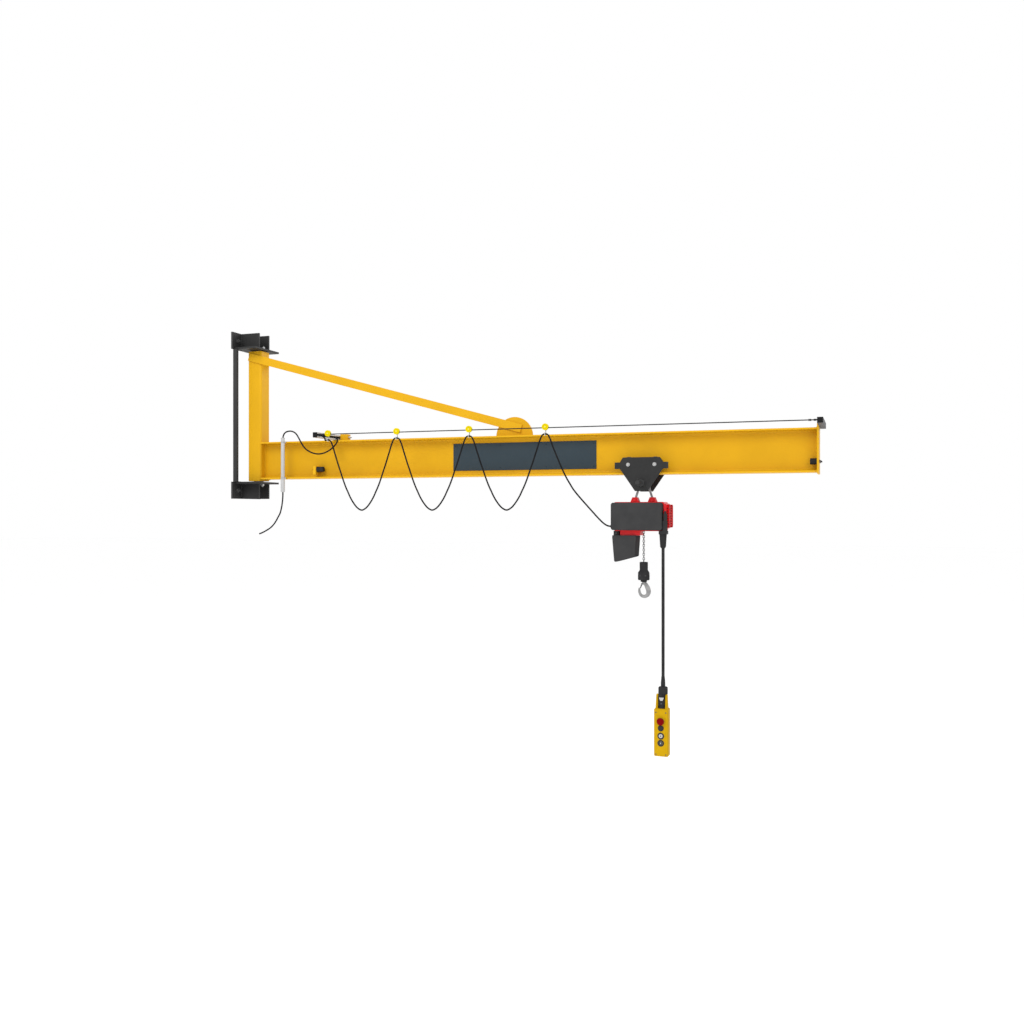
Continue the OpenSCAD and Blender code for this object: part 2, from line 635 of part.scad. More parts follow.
// Sprung latch from the hook's neck to its tip
module hook_latch() color(dark) translate([chain_x, 0, hook_z]) difference() {
    union() {
        rod_y(latch_x, -latch_w / 2, latch_w / 2, latch_z, 7.4);
        plate_xz(-latch_w / 2, latch_w / 2) polygon([[latch_x - 3.5, latch_z - 1],
            [latch_x + 2.5, latch_z - 3], [-17.5, -36], [-21.5, -37]]);
    }
    rod_y(latch_x, -latch_w, latch_w, latch_z, latch_pin + 2 * fit);
}

lower_console();
upper_console();
spacer_tubes();
pivot_pins();
column();
jib_beam();
tie_straps();
gusset_plate();
end_plate();
inner_stop();
rubber_buffers();
inner_arm();
outer_arm();
arm_bracket();
tension_wire();
sign_plate();
conduit();
supply_cable();
carrier_1();
carrier_2();
carrier_3();
carrier_4();
festoon_1();
festoon_2();
festoon_3();
festoon_4();
trolley_plates();
front_wheels();
rear_wheels();
cross_bar();
suspension_bracket();
hoist_body();
hoist_covers();
fan_cover();
chain_container();
load_chain();
cable_connector();
control_cable();
pendant_body();
pendant_gland();
stop_button();
black_button();
white_button();
grey_button();
hook_block();
load_hook();
hook_latch();
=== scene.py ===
import math
import bpy
import bmesh
import numpy as np
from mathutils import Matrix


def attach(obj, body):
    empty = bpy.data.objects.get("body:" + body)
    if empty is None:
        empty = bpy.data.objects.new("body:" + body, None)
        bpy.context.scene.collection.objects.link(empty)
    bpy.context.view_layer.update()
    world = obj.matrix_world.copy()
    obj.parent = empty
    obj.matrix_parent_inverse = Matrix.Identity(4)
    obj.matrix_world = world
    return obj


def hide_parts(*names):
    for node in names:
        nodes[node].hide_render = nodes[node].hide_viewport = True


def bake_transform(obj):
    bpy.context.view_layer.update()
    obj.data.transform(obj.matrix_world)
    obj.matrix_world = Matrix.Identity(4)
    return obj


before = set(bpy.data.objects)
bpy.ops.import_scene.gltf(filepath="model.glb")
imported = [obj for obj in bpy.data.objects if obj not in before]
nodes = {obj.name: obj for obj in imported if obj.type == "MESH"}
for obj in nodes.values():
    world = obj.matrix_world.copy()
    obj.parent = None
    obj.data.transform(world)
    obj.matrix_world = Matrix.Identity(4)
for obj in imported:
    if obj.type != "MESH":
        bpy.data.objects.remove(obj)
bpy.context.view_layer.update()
scene = bpy.context.scene
mm = 0.001  # all sizes below are in millimetres, in the frame of the CAD
print("frame loaded,", len(nodes), "nodes")


cameraSettings = {"place": (3.855, -5.611, -0.141), "turn": (90, 0, 19.5), "lens": 35, "sensor": 36}
lampSettings = [  # name, place, aim, width, watts
    ("key", (0.2, -4.6, 4.2), (1.9, 0, 0.0), 3.2, 150),
    ("fill", (5.6, -4.2, 1.4), (1.9, 0, 0.0), 3.0, 40),
    ("back", (2.6, 4.4, 3.4), (1.9, 0, 0.2), 3.5, 90),
]
floorSettings = {"height": -2.3, "reach": 60, "white": 1.0}
skySettings = {"white": 1.0, "strength": 1.0}


# The camera stands level and is turned about z
def makeCamera(s):
    data = bpy.data.cameras.new("camera")
    data.lens, data.sensor_width, data.clip_end = s["lens"], s["sensor"], 200
    camera = bpy.data.objects.new("camera", data)
    camera.location = s["place"]
    camera.rotation_euler = [math.radians(a) for a in s["turn"]]
    scene.collection.objects.link(camera)
    scene.camera = camera


# A round lamp looks along the line from its place to its aim: tilt = atan2(level part, drop), and
# turn = atan2(-x, y)
def makeLamp(name, place, aim, width, watts):
    data = bpy.data.lights.new(name, "AREA")
    data.shape, data.size, data.energy = "DISK", width, watts
    lamp = bpy.data.objects.new(name, data)
    direction = np.array(aim) - np.array(place)
    lamp.location = place
    lamp.rotation_euler = (math.atan2(np.hypot(direction[0], direction[1]), -direction[2]), 0,
                           math.atan2(-direction[0], direction[1]))
    scene.collection.objects.link(lamp)


# One flat square, well under the pendant, that shows only as a plain ground
def makeFloor(s):
    mesh = bpy.data.meshes.new("floor")
    r, h = s["reach"], s["height"]
    mesh.from_pydata([(-r, -r, h), (r, -r, h), (r, r, h), (-r, r, h)], [], [(0, 1, 2, 3)])
    floor = bpy.data.objects.new("floor", mesh)
    scene.collection.objects.link(floor)
    material = bpy.data.materials.new("floorWhite")
    material.use_nodes = True
    shader = material.node_tree.nodes["Principled BSDF"]
    shader.inputs["Base Color"].default_value = (s["white"],) * 3 + (1,)
    shader.inputs["Roughness"].default_value = 0.9
    mesh.materials.append(material)


# Even light from all sides
def makeSky(s):
    world = bpy.data.worlds.new("sky")
    world.use_nodes = True
    background = world.node_tree.nodes["Background"]
    background.inputs["Color"].default_value = (s["white"],) * 3 + (1,)
    background.inputs["Strength"].default_value = s["strength"]
    scene.world = world


makeCamera(cameraSettings)
for lamp in lampSettings:
    makeLamp(*lamp)
makeFloor(floorSettings)
makeSky(skySettings)
scene.view_settings.view_transform = "Standard"
print("camera, lamps and floor are in place")


# Colour and tint are mixed in patches. Grain is the bump's scale per metre and depth its height in
# millimetres. Spread is how far the roughness wanders, shine the specular level, edge the colour of
# sharp corners, partly wear and partly a painted highlight, and dust how strongly a paler film
# gathers in spots
finishes = {
    "yellowPaint": {"colour": (0.63, 0.335, 0.006), "tint": (0.58, 0.305, 0.005), "patch": 5,
                    "grain": 420, "depth": 0.05, "rough": 0.42, "spread": 0.12, "shine": 0.12,
                    "edge": (0.74, 0.42, 0.012), "dust": 0.012},
    "darkPaint": {"colour": (0.029, 0.029, 0.029), "tint": (0.023, 0.023, 0.023), "patch": 9,
                  "grain": 500, "depth": 0.06, "rough": 0.52, "spread": 0.14, "shine": 0.10,
                  "edge": (0.058, 0.058, 0.058), "dust": 0.03},
    "redPaint": {"colour": (0.64, 0.011, 0.015), "tint": (0.56, 0.008, 0.011), "patch": 14,
                 "grain": 480, "depth": 0.05, "rough": 0.38, "spread": 0.12, "shine": 0.22,
                 "edge": (0.60, 0.024, 0.03), "dust": 0.02},
    "fanRed": {"colour": (0.44, 0.003, 0.005), "tint": (0.38, 0.002, 0.004), "patch": 14,
               "grain": 480, "depth": 0.05, "rough": 0.50, "spread": 0.10, "shine": 0.02,
               "edge": (0.50, 0.008, 0.01)},
    "zincPlate": {"colour": (0.46, 0.47, 0.48), "tint": (0.38, 0.39, 0.40), "patch": 22,
                  "grain": 700, "depth": 0.03, "rough": 0.42, "spread": 0.20, "metal": 0.5,
                  "spangle": 130, "edge": (0.60, 0.61, 0.62)},
    "bracketSteel": {"colour": (0.27, 0.27, 0.275), "tint": (0.22, 0.22, 0.225), "patch": 30,
                     "grain": 700, "depth": 0.04, "rough": 0.46, "spread": 0.18, "metal": 0.2,
                     "edge": (0.36, 0.36, 0.365)},
    # darker, duller copy of the zinc for the outer rail: painted shade
    "shadedRailZinc": {"colour": (0.075, 0.076, 0.078), "tint": (0.055, 0.056, 0.058), "patch": 22,
                  "grain": 700, "depth": 0.03, "rough": 0.52, "spread": 0.16, "shine": 0.06,
                  "edge": (0.12, 0.12, 0.124), "dust": 0.02},
    "boltZinc": {"colour": (0.44, 0.44, 0.44), "tint": (0.35, 0.35, 0.35), "patch": 60,
                 "grain": 900, "depth": 0.02, "rough": 0.36, "spread": 0.16, "metal": 0.6,
                 "edge": (0.58, 0.58, 0.58)},
    "darkSteel": {"colour": (0.060, 0.060, 0.064), "tint": (0.042, 0.042, 0.045), "patch": 30,
                  "grain": 600, "depth": 0.05, "rough": 0.42, "spread": 0.18, "metal": 0.8,
                  "edge": (0.20, 0.20, 0.21), "dust": 0.05},
    "forgedSteel": {"colour": (0.31, 0.31, 0.31), "tint": (0.24, 0.24, 0.24), "patch": 45,
                    "grain": 340, "depth": 0.18, "rough": 0.50, "spread": 0.18, "metal": 0.1,
                    "shine": 0.10, "edge": (0.46, 0.46, 0.46)},
    "chainSteel": {"colour": (0.056, 0.056, 0.058), "tint": (0.040, 0.040, 0.042), "patch": 120,
                   "grain": 900, "depth": 0.02, "rough": 0.42, "spread": 0.16, "metal": 0.2,
                   "shine": 0.10, "edge": (0.20, 0.20, 0.20)},
    "wireSteel": {"colour": (0.026, 0.026, 0.027), "tint": (0.018, 0.018, 0.019), "patch": 60,
                  "grain": 1200, "depth": 0.03, "rough": 0.55, "spread": 0.14, "shine": 0.03,
                  "edge": (0.05, 0.05, 0.05)},
    "blackRubber": {"colour": (0.024, 0.024, 0.025), "tint": (0.030, 0.030, 0.031), "patch": 26,
                    "grain": 380, "depth": 0.08, "rough": 0.68, "spread": 0.12, "shine": 0.04,
                    "edge": (0.032, 0.032, 0.033), "dust": 0.03},
    "cableJacket": {"colour": (0.011, 0.011, 0.012), "tint": (0.015, 0.015, 0.016), "patch": 18,
                    "grain": 650, "depth": 0.03, "rough": 0.55, "spread": 0.14, "shine": 0.03,
                    "edge": (0.014, 0.014, 0.014), "dust": 0.01},
    "controlJacket": {"colour": (0.022, 0.022, 0.023), "tint": (0.028, 0.028, 0.029), "patch": 18,
                      "grain": 650, "depth": 0.03, "rough": 0.55, "spread": 0.14, "shine": 0.04,
                      "edge": (0.028, 0.028, 0.028), "dust": 0.01},
    "blackPlastic": {"colour": (0.025, 0.025, 0.026), "tint": (0.031, 0.031, 0.032), "patch": 16,
                     "grain": 800, "depth": 0.07, "rough": 0.46, "spread": 0.10, "shine": 0.08,
                     "leather": 1500, "edge": (0.046, 0.046, 0.048), "dust": 0.03},
    "mattPlastic": {"colour": (0.042, 0.042, 0.043), "tint": (0.048, 0.048, 0.049), "patch": 16,
                    "grain": 800, "depth": 0.07, "rough": 0.70, "spread": 0.10, "shine": 0.0,
                    "leather": 1500, "edge": (0.062, 0.062, 0.064), "dust": 0.01},
    "greyPlastic": {"colour": (0.055, 0.062, 0.068), "tint": (0.045, 0.050, 0.055), "patch": 20,
                    "grain": 700, "depth": 0.04, "rough": 0.50, "spread": 0.10, "shine": 0.08,
                    "edge": (0.20, 0.21, 0.22)},
    "palePlastic": {"colour": (0.44, 0.44, 0.44), "tint": (0.40, 0.40, 0.40), "patch": 18,
                    "grain": 700, "depth": 0.04, "rough": 0.48, "spread": 0.10, "shine": 0.10,
                    "edge": (0.52, 0.52, 0.52), "dust": 0.02},
    "discPlastic": {"colour": (0.66, 0.52, 0.002), "tint": (0.60, 0.47, 0.002), "patch": 40,
                    "grain": 600, "depth": 0.04, "rough": 0.46, "spread": 0.12, "shine": 0.03,
                    "edge": (0.78, 0.64, 0.008)},
    "pendantYellow": {"colour": (0.48, 0.275, 0.002), "tint": (0.43, 0.245, 0.002), "patch": 24,
                      "grain": 750, "depth": 0.05, "rough": 0.50, "spread": 0.10, "shine": 0.05,
                      "leather": 1300, "edge": (0.66, 0.40, 0.006), "dust": 0.01},
    "redPlastic": {"colour": (0.20, 0.0010, 0.0012), "tint": (0.16, 0.0008, 0.0010), "patch": 50,
                   "grain": 700, "depth": 0.03, "rough": 0.42, "spread": 0.08, "shine": 0.05,
                   "edge": (0.25, 0.003, 0.003)},
    "whitePlastic": {"colour": (0.48, 0.48, 0.48), "tint": (0.43, 0.43, 0.43), "patch": 50,
                     "grain": 700, "depth": 0.03, "rough": 0.42, "spread": 0.08, "shine": 0.08,
                     "edge": (0.6, 0.6, 0.6)},
    "signSlate": {"colour": (0.022, 0.036, 0.047), "tint": (0.018, 0.030, 0.040), "patch": 7,
                  "grain": 260, "depth": 0.03, "rough": 0.42, "spread": 0.14, "shine": 0.10,
                  "edge": (0.045, 0.062, 0.075), "dust": 0.03},
}


# Base colour = mix(mix(colour, tint, patches), paler dust, spots), and then the edge's colour where
# the surface is sharp, partly wear and partly a painted highlight; roughness = rough plus or minus
# half the spread, by noise
def makeFinish(name, s):
    material = bpy.data.materials.new(name)
    material.use_nodes = True
    tree = material.node_tree
    shader = tree.nodes["Principled BSDF"]
    shader.inputs["Metallic"].default_value = s.get("metal", 0)
    shader.inputs["Specular IOR Level"].default_value = s.get("shine", 0.2)
    coords = tree.nodes.new("ShaderNodeTexCoord")

    def noise(scale, detail, stretch=(1, 1, 1)):
        mapping = tree.nodes.new("ShaderNodeMapping")
        mapping.inputs["Scale"].default_value = stretch
        tree.links.new(coords.outputs["Object"], mapping.inputs["Vector"])
        node = tree.nodes.new("ShaderNodeTexNoise")
        node.inputs["Scale"].default_value = scale
        node.inputs["Detail"].default_value = detail
        tree.links.new(mapping.outputs["Vector"], node.inputs["Vector"])
        return node.outputs["Fac"]

    def cells(scale, output):
        node = tree.nodes.new("ShaderNodeTexVoronoi")
        node.inputs["Scale"].default_value = scale
        tree.links.new(coords.outputs["Object"], node.inputs["Vector"])
        return node.outputs[output]

    def ranged(value, low, high, toLow, toHigh):
        node = tree.nodes.new("ShaderNodeMapRange")
        for socket, number in zip(("From Min", "From Max", "To Min", "To Max"),
                                  (low, high, toLow, toHigh)):
            node.inputs[socket].default_value = number
        tree.links.new(value, node.inputs["Value"])
        return node.outputs["Result"]

    def blended(factor, first, second):
        node = tree.nodes.new("ShaderNodeMix")
        node.data_type = "RGBA"
        tree.links.new(factor, node.inputs["Factor"])
        for socket, value in (("A", first), ("B", second)):
            place = [i for i in node.inputs if i.name == socket and i.type == "RGBA"][0]
            if isinstance(value, tuple):
                place.default_value = value + (1,)
            else:
                tree.links.new(value, place)
        return [o for o in node.outputs if o.type == "RGBA"][0]

    # patches of tint, a paler dust that gathers in spots, and sharp corners in the edge's colour,
    # partly wear and partly a painted highlight
    colour = blended(ranged(noise(s["patch"], 5), 0.38, 0.62, 0, 1), s["colour"], s["tint"])
    if "spangle" in s:
        grey = tuple(0.72 * c for c in s["colour"])
        colour = blended(ranged(cells(s["spangle"], "Distance"), 0.15, 0.75, 0, 0.55), colour,
                         grey)
    if "dust" in s:
        pale = tuple(0.55 * c + 0.16 for c in s["colour"])
        colour = blended(ranged(noise(s["patch"] * 9, 6, (1, 1, 0.35)), 0.56, 0.80, 0, s["dust"]),
                         colour, pale)
    # the edge's colour on sharp corners is partly wear and partly a painted highlight
    geometry = tree.nodes.new("ShaderNodeNewGeometry")
    colour = blended(ranged(geometry.outputs["Pointiness"], 0.515, 0.60, 0, 0.75), colour,
                     s["edge"])
    tree.links.new(colour, shader.inputs["Base Color"])

    # roughness wanders with two sizes of noise
    rough = ranged(noise(s["patch"] * 4, 6), 0.3, 0.7, s["rough"] - s["spread"] / 2,
                   s["rough"] + s["spread"] / 2)
    tree.links.new(rough, shader.inputs["Roughness"])

    # grain, and the pebbles of moulded plastic
    height = noise(s["grain"], 3)
    if "leather" in s:
        add = tree.nodes.new("ShaderNodeMath")
        add.operation = "ADD"
        tree.links.new(height, add.inputs[0])
        tree.links.new(cells(s["leather"], "Distance"), add.inputs[1])
        height = add.outputs["Value"]
    bump = tree.nodes.new("ShaderNodeBump")
    bump.inputs["Strength"].default_value = 0.6
    bump.inputs["Distance"].default_value = s["depth"] * mm
    tree.links.new(height, bump.inputs["Height"])
    tree.links.new(bump.outputs["Normal"], shader.inputs["Normal"])
    return material


materials = {name: makeFinish(name, s) for name, s in finishes.items()}
print("finishes made:", len(materials))


# Each shape function below returns its points and its faces, in millimetres

# Row j and column k of a grid make the face (j,k), (j,k+1), (j+1,k+1), (j+1,k). The last column
# joins the first, and closed joins the last row to the first as well
def gridFaces(rows, columns, closed=False):
    j, k = np.meshgrid(np.arange(rows if closed else rows - 1), np.arange(columns), indexing="ij")
    above, beside = (j + 1) % rows, (k + 1) % columns
    faces = np.stack([j * columns + k, j * columns + beside, above * columns + beside,
                      above * columns + k], -1)
    return faces.reshape(-1, 4).tolist()


# Rings of points, one above the other, with a flat face on the first and the last
def lofted(rings):
    rows, columns = rings.shape[:2]
    ends = [list(range(columns)), list(range((rows - 1) * columns, rows * columns))]
    return rings.reshape(-1, 3), gridFaces(rows, columns) + ends


# Each (radius, height) of a profile goes round: x = r cos a, y = r sin a, z = h
def turned(profile, steps=40, closed=False):
    profile = np.array(profile, float)
    a = np.linspace(0, 2 * np.pi, steps, endpoint=False)
    r, h = profile[:, :1], profile[:, 1:]
    rings = np.stack([r * np.cos(a), r * np.sin(a), h + 0 * a], -1)
    if closed:
        return rings.reshape(-1, 3), gridFaces(len(profile), steps, closed=True)
    return lofted(rings)


# An outline in x and y at each (height, inset) level; an inset moves each point along the line that
# halves its corner, so that every side keeps its slope
def stacked(outline, levels):
    outline = np.array(outline, float)
    before, after = np.roll(outline, 1, 0), np.roll(outline, -1, 0)
    sideA = (outline - before) / np.linalg.norm(outline - before, axis=1)[:, None]
    sideB = (after - outline) / np.linalg.norm(after - outline, axis=1)[:, None]
    inwardA = np.stack([-sideA[:, 1], sideA[:, 0]], 1)
    inwardB = np.stack([-sideB[:, 1], sideB[:, 0]], 1)
    mitre = (inwardA + inwardB) / (1 + np.sum(inwardA * inwardB, 1))[:, None]
    rings = [np.column_stack([outline + mitre * inset, np.full(len(outline), height)])
             for height, inset in levels]
    return lofted(np.array(rings))


# Rounded rectangle: four quarter circles of radius r, anticlockwise
def roundedBox(width, height, r, steps=6):
    a = np.linspace(0, np.pi / 2, steps + 1)
    quarter = np.stack([np.cos(a), np.sin(a)], 1) * r
    corners = []
    for turn, (sx, sy) in enumerate([(1, 1), (-1, 1), (-1, -1), (1, -1)]):
        c, s = math.cos(turn * math.pi / 2), math.sin(turn * math.pi / 2)
        spun = quarter @ np.array([[c, s], [-s, c]])
        corners.append(spun + [sx * (width / 2 - r), sy * (height / 2 - r)])
    return np.vstack(corners)


# Plain block between two corners
def block(low, high):
    x, y = (low[0], high[0]), (low[1], high[1])
    outline = [(x[0], y[0]), (x[1], y[0]), (x[1], y[1]), (x[0], y[1])]
    return stacked(outline, [(low[2], 0), (high[2], 0)])


# The cubic through each pair of route points whose slope at a point is that of the points beside
# it, walked at even steps of length; each round of averaging, p = (before + 2 p + after) / 4, takes
# out small waves
def smoothPath(route, step=4.0, calm=2):
    route = np.array(route, float)

    def walked(p, spacing):
        s = np.concatenate([[0], np.cumsum(np.linalg.norm(np.diff(p, axis=0), axis=1))])
        slope = np.gradient(p, s, axis=0)
        u = np.linspace(0, s[-1], max(int(round(s[-1] / spacing)) + 1, 4))
        i = np.clip(np.searchsorted(s, u, side="right") - 1, 0, len(p) - 2)
        w = (s[i + 1] - s[i])[:, None]
        t = (u - s[i])[:, None] / w
        return ((2 * t**3 - 3 * t**2 + 1) * p[i] + (t**3 - 2 * t**2 + t) * w * slope[i]
                + (3 * t**2 - 2 * t**3) * p[i + 1] + (t**3 - t**2) * w * slope[i + 1])

    path = walked(route, step)
    for _ in range(calm):
        path[1:-1] = (path[:-2] + 2 * path[1:-1] + path[2:]) / 4
    return path


# Directions across a path: each is the last one, less its part along the path
def pathFrames(path, start=(0, 1, 0)):
    along = np.gradient(path, axis=0)
    along /= np.linalg.norm(along, axis=1)[:, None]
    across, last = [], np.array(start, float)
    for t in along:
        last = last - t * (last @ t)
        last = last / np.linalg.norm(last)
        across.append(last)
    across = np.array(across)
    return along, across, np.cross(along, across)


# Centre c goes along the path; the skin is c + r (u cos a + v sin a), where u and v cross the path
def tube(path, radius, sides=16, start=(0, 1, 0)):
    path = np.array(path, float)
    _, u, v = pathFrames(path, start)
    a = np.linspace(0, 2 * np.pi, sides, endpoint=False)
    r = np.broadcast_to(np.array(radius, float), (len(path),))[:, None, None]
    return lofted(path[:, None] + r * (u[:, None] * np.cos(a)[:, None]
                                       + v[:, None] * np.sin(a)[:, None]))


# Axes: z goes to the given direction, and the shape then moves to its place
def placed(shape, place=(0, 0, 0), direction=(0, 0, 1), spin=0.0):
    points, faces = shape
    z = np.array(direction, float) / np.linalg.norm(direction)
    x = np.cross([0, 1, 0] if abs(z[1]) < 0.9 else [0, 0, 1], z)
    x /= np.linalg.norm(x)
    y = np.cross(z, x)
    c, s = math.cos(math.radians(spin)), math.sin(math.radians(spin))
    axes = np.array([c * x + s * y, c * y - s * x, z])
    return points @ axes + np.array(place, float), faces


# Several shapes as one: each shape's face numbers go up by the points before it
def joined(shapes):
    points, faces, count = [], [], 0
    for p, f in shapes:
        points.append(p)
        faces += [[i + count for i in face] for face in f]
        count += len(p)
    return np.vstack(points), faces


# Flat band along a path that lies across x: half its width goes along x, half its thickness across
def bandAlong(path, half, thin):
    along = np.gradient(path, axis=0)
    along /= np.linalg.norm(along, axis=1)[:, None]
    across = np.cross(along, (1, 0, 0))
    section = roundedBox(2 * half, 2 * thin, min(thin, half) * 0.6, 3)
    return lofted(path[:, None] + np.array([1, 0, 0]) * section[:, :1]
                  + across[:, None] * section[:, 1:])


# Hexagon head with its chamfered top, on a washer
def boltHead(across, height, washer=0.0, thick=0.0):
    a = np.radians(np.arange(6) * 60 + 30)
    hexagon = np.stack([np.cos(a), np.sin(a)], 1) * across / math.sqrt(3)
    parts = [stacked(hexagon, [(thick, 0), (thick + height * 0.88, 0),
                               (thick + height, across * 0.06)])]
    if washer:
        parts.append(turned([(washer / 2 - 0.4, 0), (washer / 2, 0.4), (washer / 2, thick - 0.4),
                             (washer / 2 - 0.4, thick)], 36))
    return joined(parts)


# Threaded end: the radius goes from crest to root and back once in each pitch, over a chamfer
def threadedEnd(d, length, pitch):
    turns = int(length / pitch)
    h = np.repeat(np.arange(turns), 2) * pitch + np.tile([0.0, pitch / 2], turns)
    r = np.tile([d / 2, d / 2 - 0.55 * pitch], turns)
    keep = h < length - 1.2 * pitch
    profile = [(d / 2, -0.5)] + list(zip(r[keep], h[keep] + 0.3))
    return turned(profile + [(d / 2 - 0.2, length - pitch), (d / 2 - 1.3 * pitch, length)], 28)


# Bead along a corner: its radius swells with each ripple of the weld
def weldBead(path, r):
    ripple = 5.0  # length of one ripple
    path = smoothPath(path, ripple / 4, 0)
    s = np.arange(len(path)) * ripple / 4
    radius = r * (1 + 0.10 * np.sin(2 * np.pi * s / ripple) + 0.06 * np.sin(s * 0.21))
    radius[0] = radius[-1] = r * 0.4
    return tube(path, radius, 10, start=(0.3, 0.5, 0.8))


# A small rounded edge wherever two faces meet at more than 40 degrees
def breakEdges(piece, width):
    edge = piece.modifiers.new("edge", "BEVEL")
    edge.width, edge.segments, edge.limit_method = width * mm, 2, "ANGLE"
    edge.angle_limit = math.radians(40)
    edge.harden_normals = True


# Shapes in millimetres become one mesh in metres, faces outward, with its finish and body
def makePiece(name, shapes, body, finish, replaces=(), bevel=0.0, smooth=35):
    points, faces = joined(shapes)
    mesh = bpy.data.meshes.new(name)
    mesh.from_pydata((points * mm).tolist(), [], faces)
    work = bmesh.new()
    work.from_mesh(mesh)
    bmesh.ops.recalc_face_normals(work, faces=work.faces)
    work.to_mesh(mesh)
    work.free()
    mesh.materials.append(materials[finish])
    mesh.shade_smooth()
    mesh.set_sharp_from_angle(angle=math.radians(smooth))
    piece = bpy.data.objects.new(name, mesh)
    scene.collection.objects.link(piece)
    if bevel:
        breakEdges(piece, bevel)
    if body:
        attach(piece, body)
    if replaces:
        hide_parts(*replaces)
    return piece


cordSettings = {
    "diameter": 9, "wireY": -280, "carrierX": [780 + 461.67 * n for n in range(4)],
    "ratios": [0.0, 0.207, 0.414, 0.62], "saddleZ": 273, "bend": 25,
    # half of a hanging loop: distance from its carrier, height
    "loop": [(24, 280), (32, 262), (40, 239), (47.5, 215), (55.5, 192), (63.5, 168), (71.5, 144),
             (80, 121), (89, 97), (97.5, 73), (106, 50), (115.5, 26), (126, 2), (138, -22),
             (149, -45), (163, -69), (180, -93), (204, -118), (230.8, -130)],
    "supply": [(164, -84, -282), (181, -84, -276), (200, -84, -268), (222, -84, -257),
               (246, -84, -243), (268, -84, -224), (287, -84, -201), (303, -84, -175),
               (318, -84, -150), (327, -84, -122), (333, -84, -94), (337, -84, -65),
               (339, -84, -38), (339, -84, -10), (339, -84, 44), (339, -84, 98),
               (339, -84, 152), (339, -84, 206), (339, -84, 260), (339, -84, 300),
               (340, -84, 336), (346, -84, 356), (363, -84, 371), (386, -84, 376),
               (411, -84, 373), (432, -84, 362), (448, -84, 343), (461, -84, 322),
               (474, -84, 300), (489, -84, 278), (509, -84, 258), (535, -84, 242),
               (565, -84, 231), (600, -83, 226), (632, -82, 230), (660, -80, 240),
               (684, -76, 255), (704, -71, 274), (718, -66, 293), (724, -64, 311),
               (722, -64, 322), (713, -65, 328), (704, -70, 329), (701, -82, 329),
               (701, -108, 329), (701, -134, 329), (701, -160, 329), (701, -186, 329),
               (701, -212, 329), (701, -236, 329), (704, -252, 329), (713, -261, 328),
               (727, -265, 325), (744, -270, 317), (758, -277, 306)],
    "last": [(2189, -280, 280), (2196, -278, 262), (2203, -275, 240), (2210, -271, 218),
             (2218, -265, 196), (2225, -258, 174), (2233, -250, 151), (2240, -243, 129),
             (2248, -235, 107), (2257, -228, 84), (2266, -220, 62), (2276, -212, 40),
             (2288, -204, 17), (2300, -196, -6.2), (2315, -187.2, -29.2), (2330.2, -178.5, -49.7),
             (2345.5, -170.6, -69.4), (2360.9, -162.6, -88.7), (2376.4, -154.9, -107.7),
             (2391.8, -147.1, -126.7), (2407.2, -139, -145.8), (2422.6, -131.1, -164.7),
             (2435.4, -124, -180), (2446.9, -116.6, -193.2), (2457.8, -109.1, -204.4),
             (2467.8, -102.4, -212.8), (2476.8, -96.6, -218.3), (2485.1, -92.3, -221),
             (2492.8, -90, -222.2)],
}
controlSettings = {"diameter": 17.4, "place": (2789, -60), "top": -345, "bottom": -1066,
                   "points": 38}


# Points over a saddle, from angle a to b off the upright: x0 + r sin a, z0 + r cos a
def overSaddle(n, a, b):
    s = cordSettings
    a = np.radians(np.linspace(a, b, int(abs(b - a) / 6) + 1))
    return np.stack([s["carrierX"][n] + s["bend"] * np.sin(a), np.full(len(a), s["wireY"]),
                     s["saddleZ"] + s["bend"] * np.cos(a)], 1)


# Tube round its path
def makeCord(name, path, diameter, replaces, body=None, blend=None,
             sides=16, finish="cableJacket"):
    piece = makePiece(name, [tube(path, diameter / 2, sides)], body, finish, replaces,
                      smooth=60)
    if blend:
        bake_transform(piece)


# A blend's weight is 3t^2 - 2t^3 of the share t of the way from its start to its end. Start and end
# are set so that the weight is the ratio at which each end of the stretch moves
def blendEnds(first, last, ratioFirst, ratioLast):
    t = np.linspace(0, 1, 4001)
    ta, tb = np.interp([ratioFirst, ratioLast], 3 * t**2 - 2 * t**3, t)
    whole = (last - first) / (tb - ta)
    start = first - whole * ta
    return start, start + whole
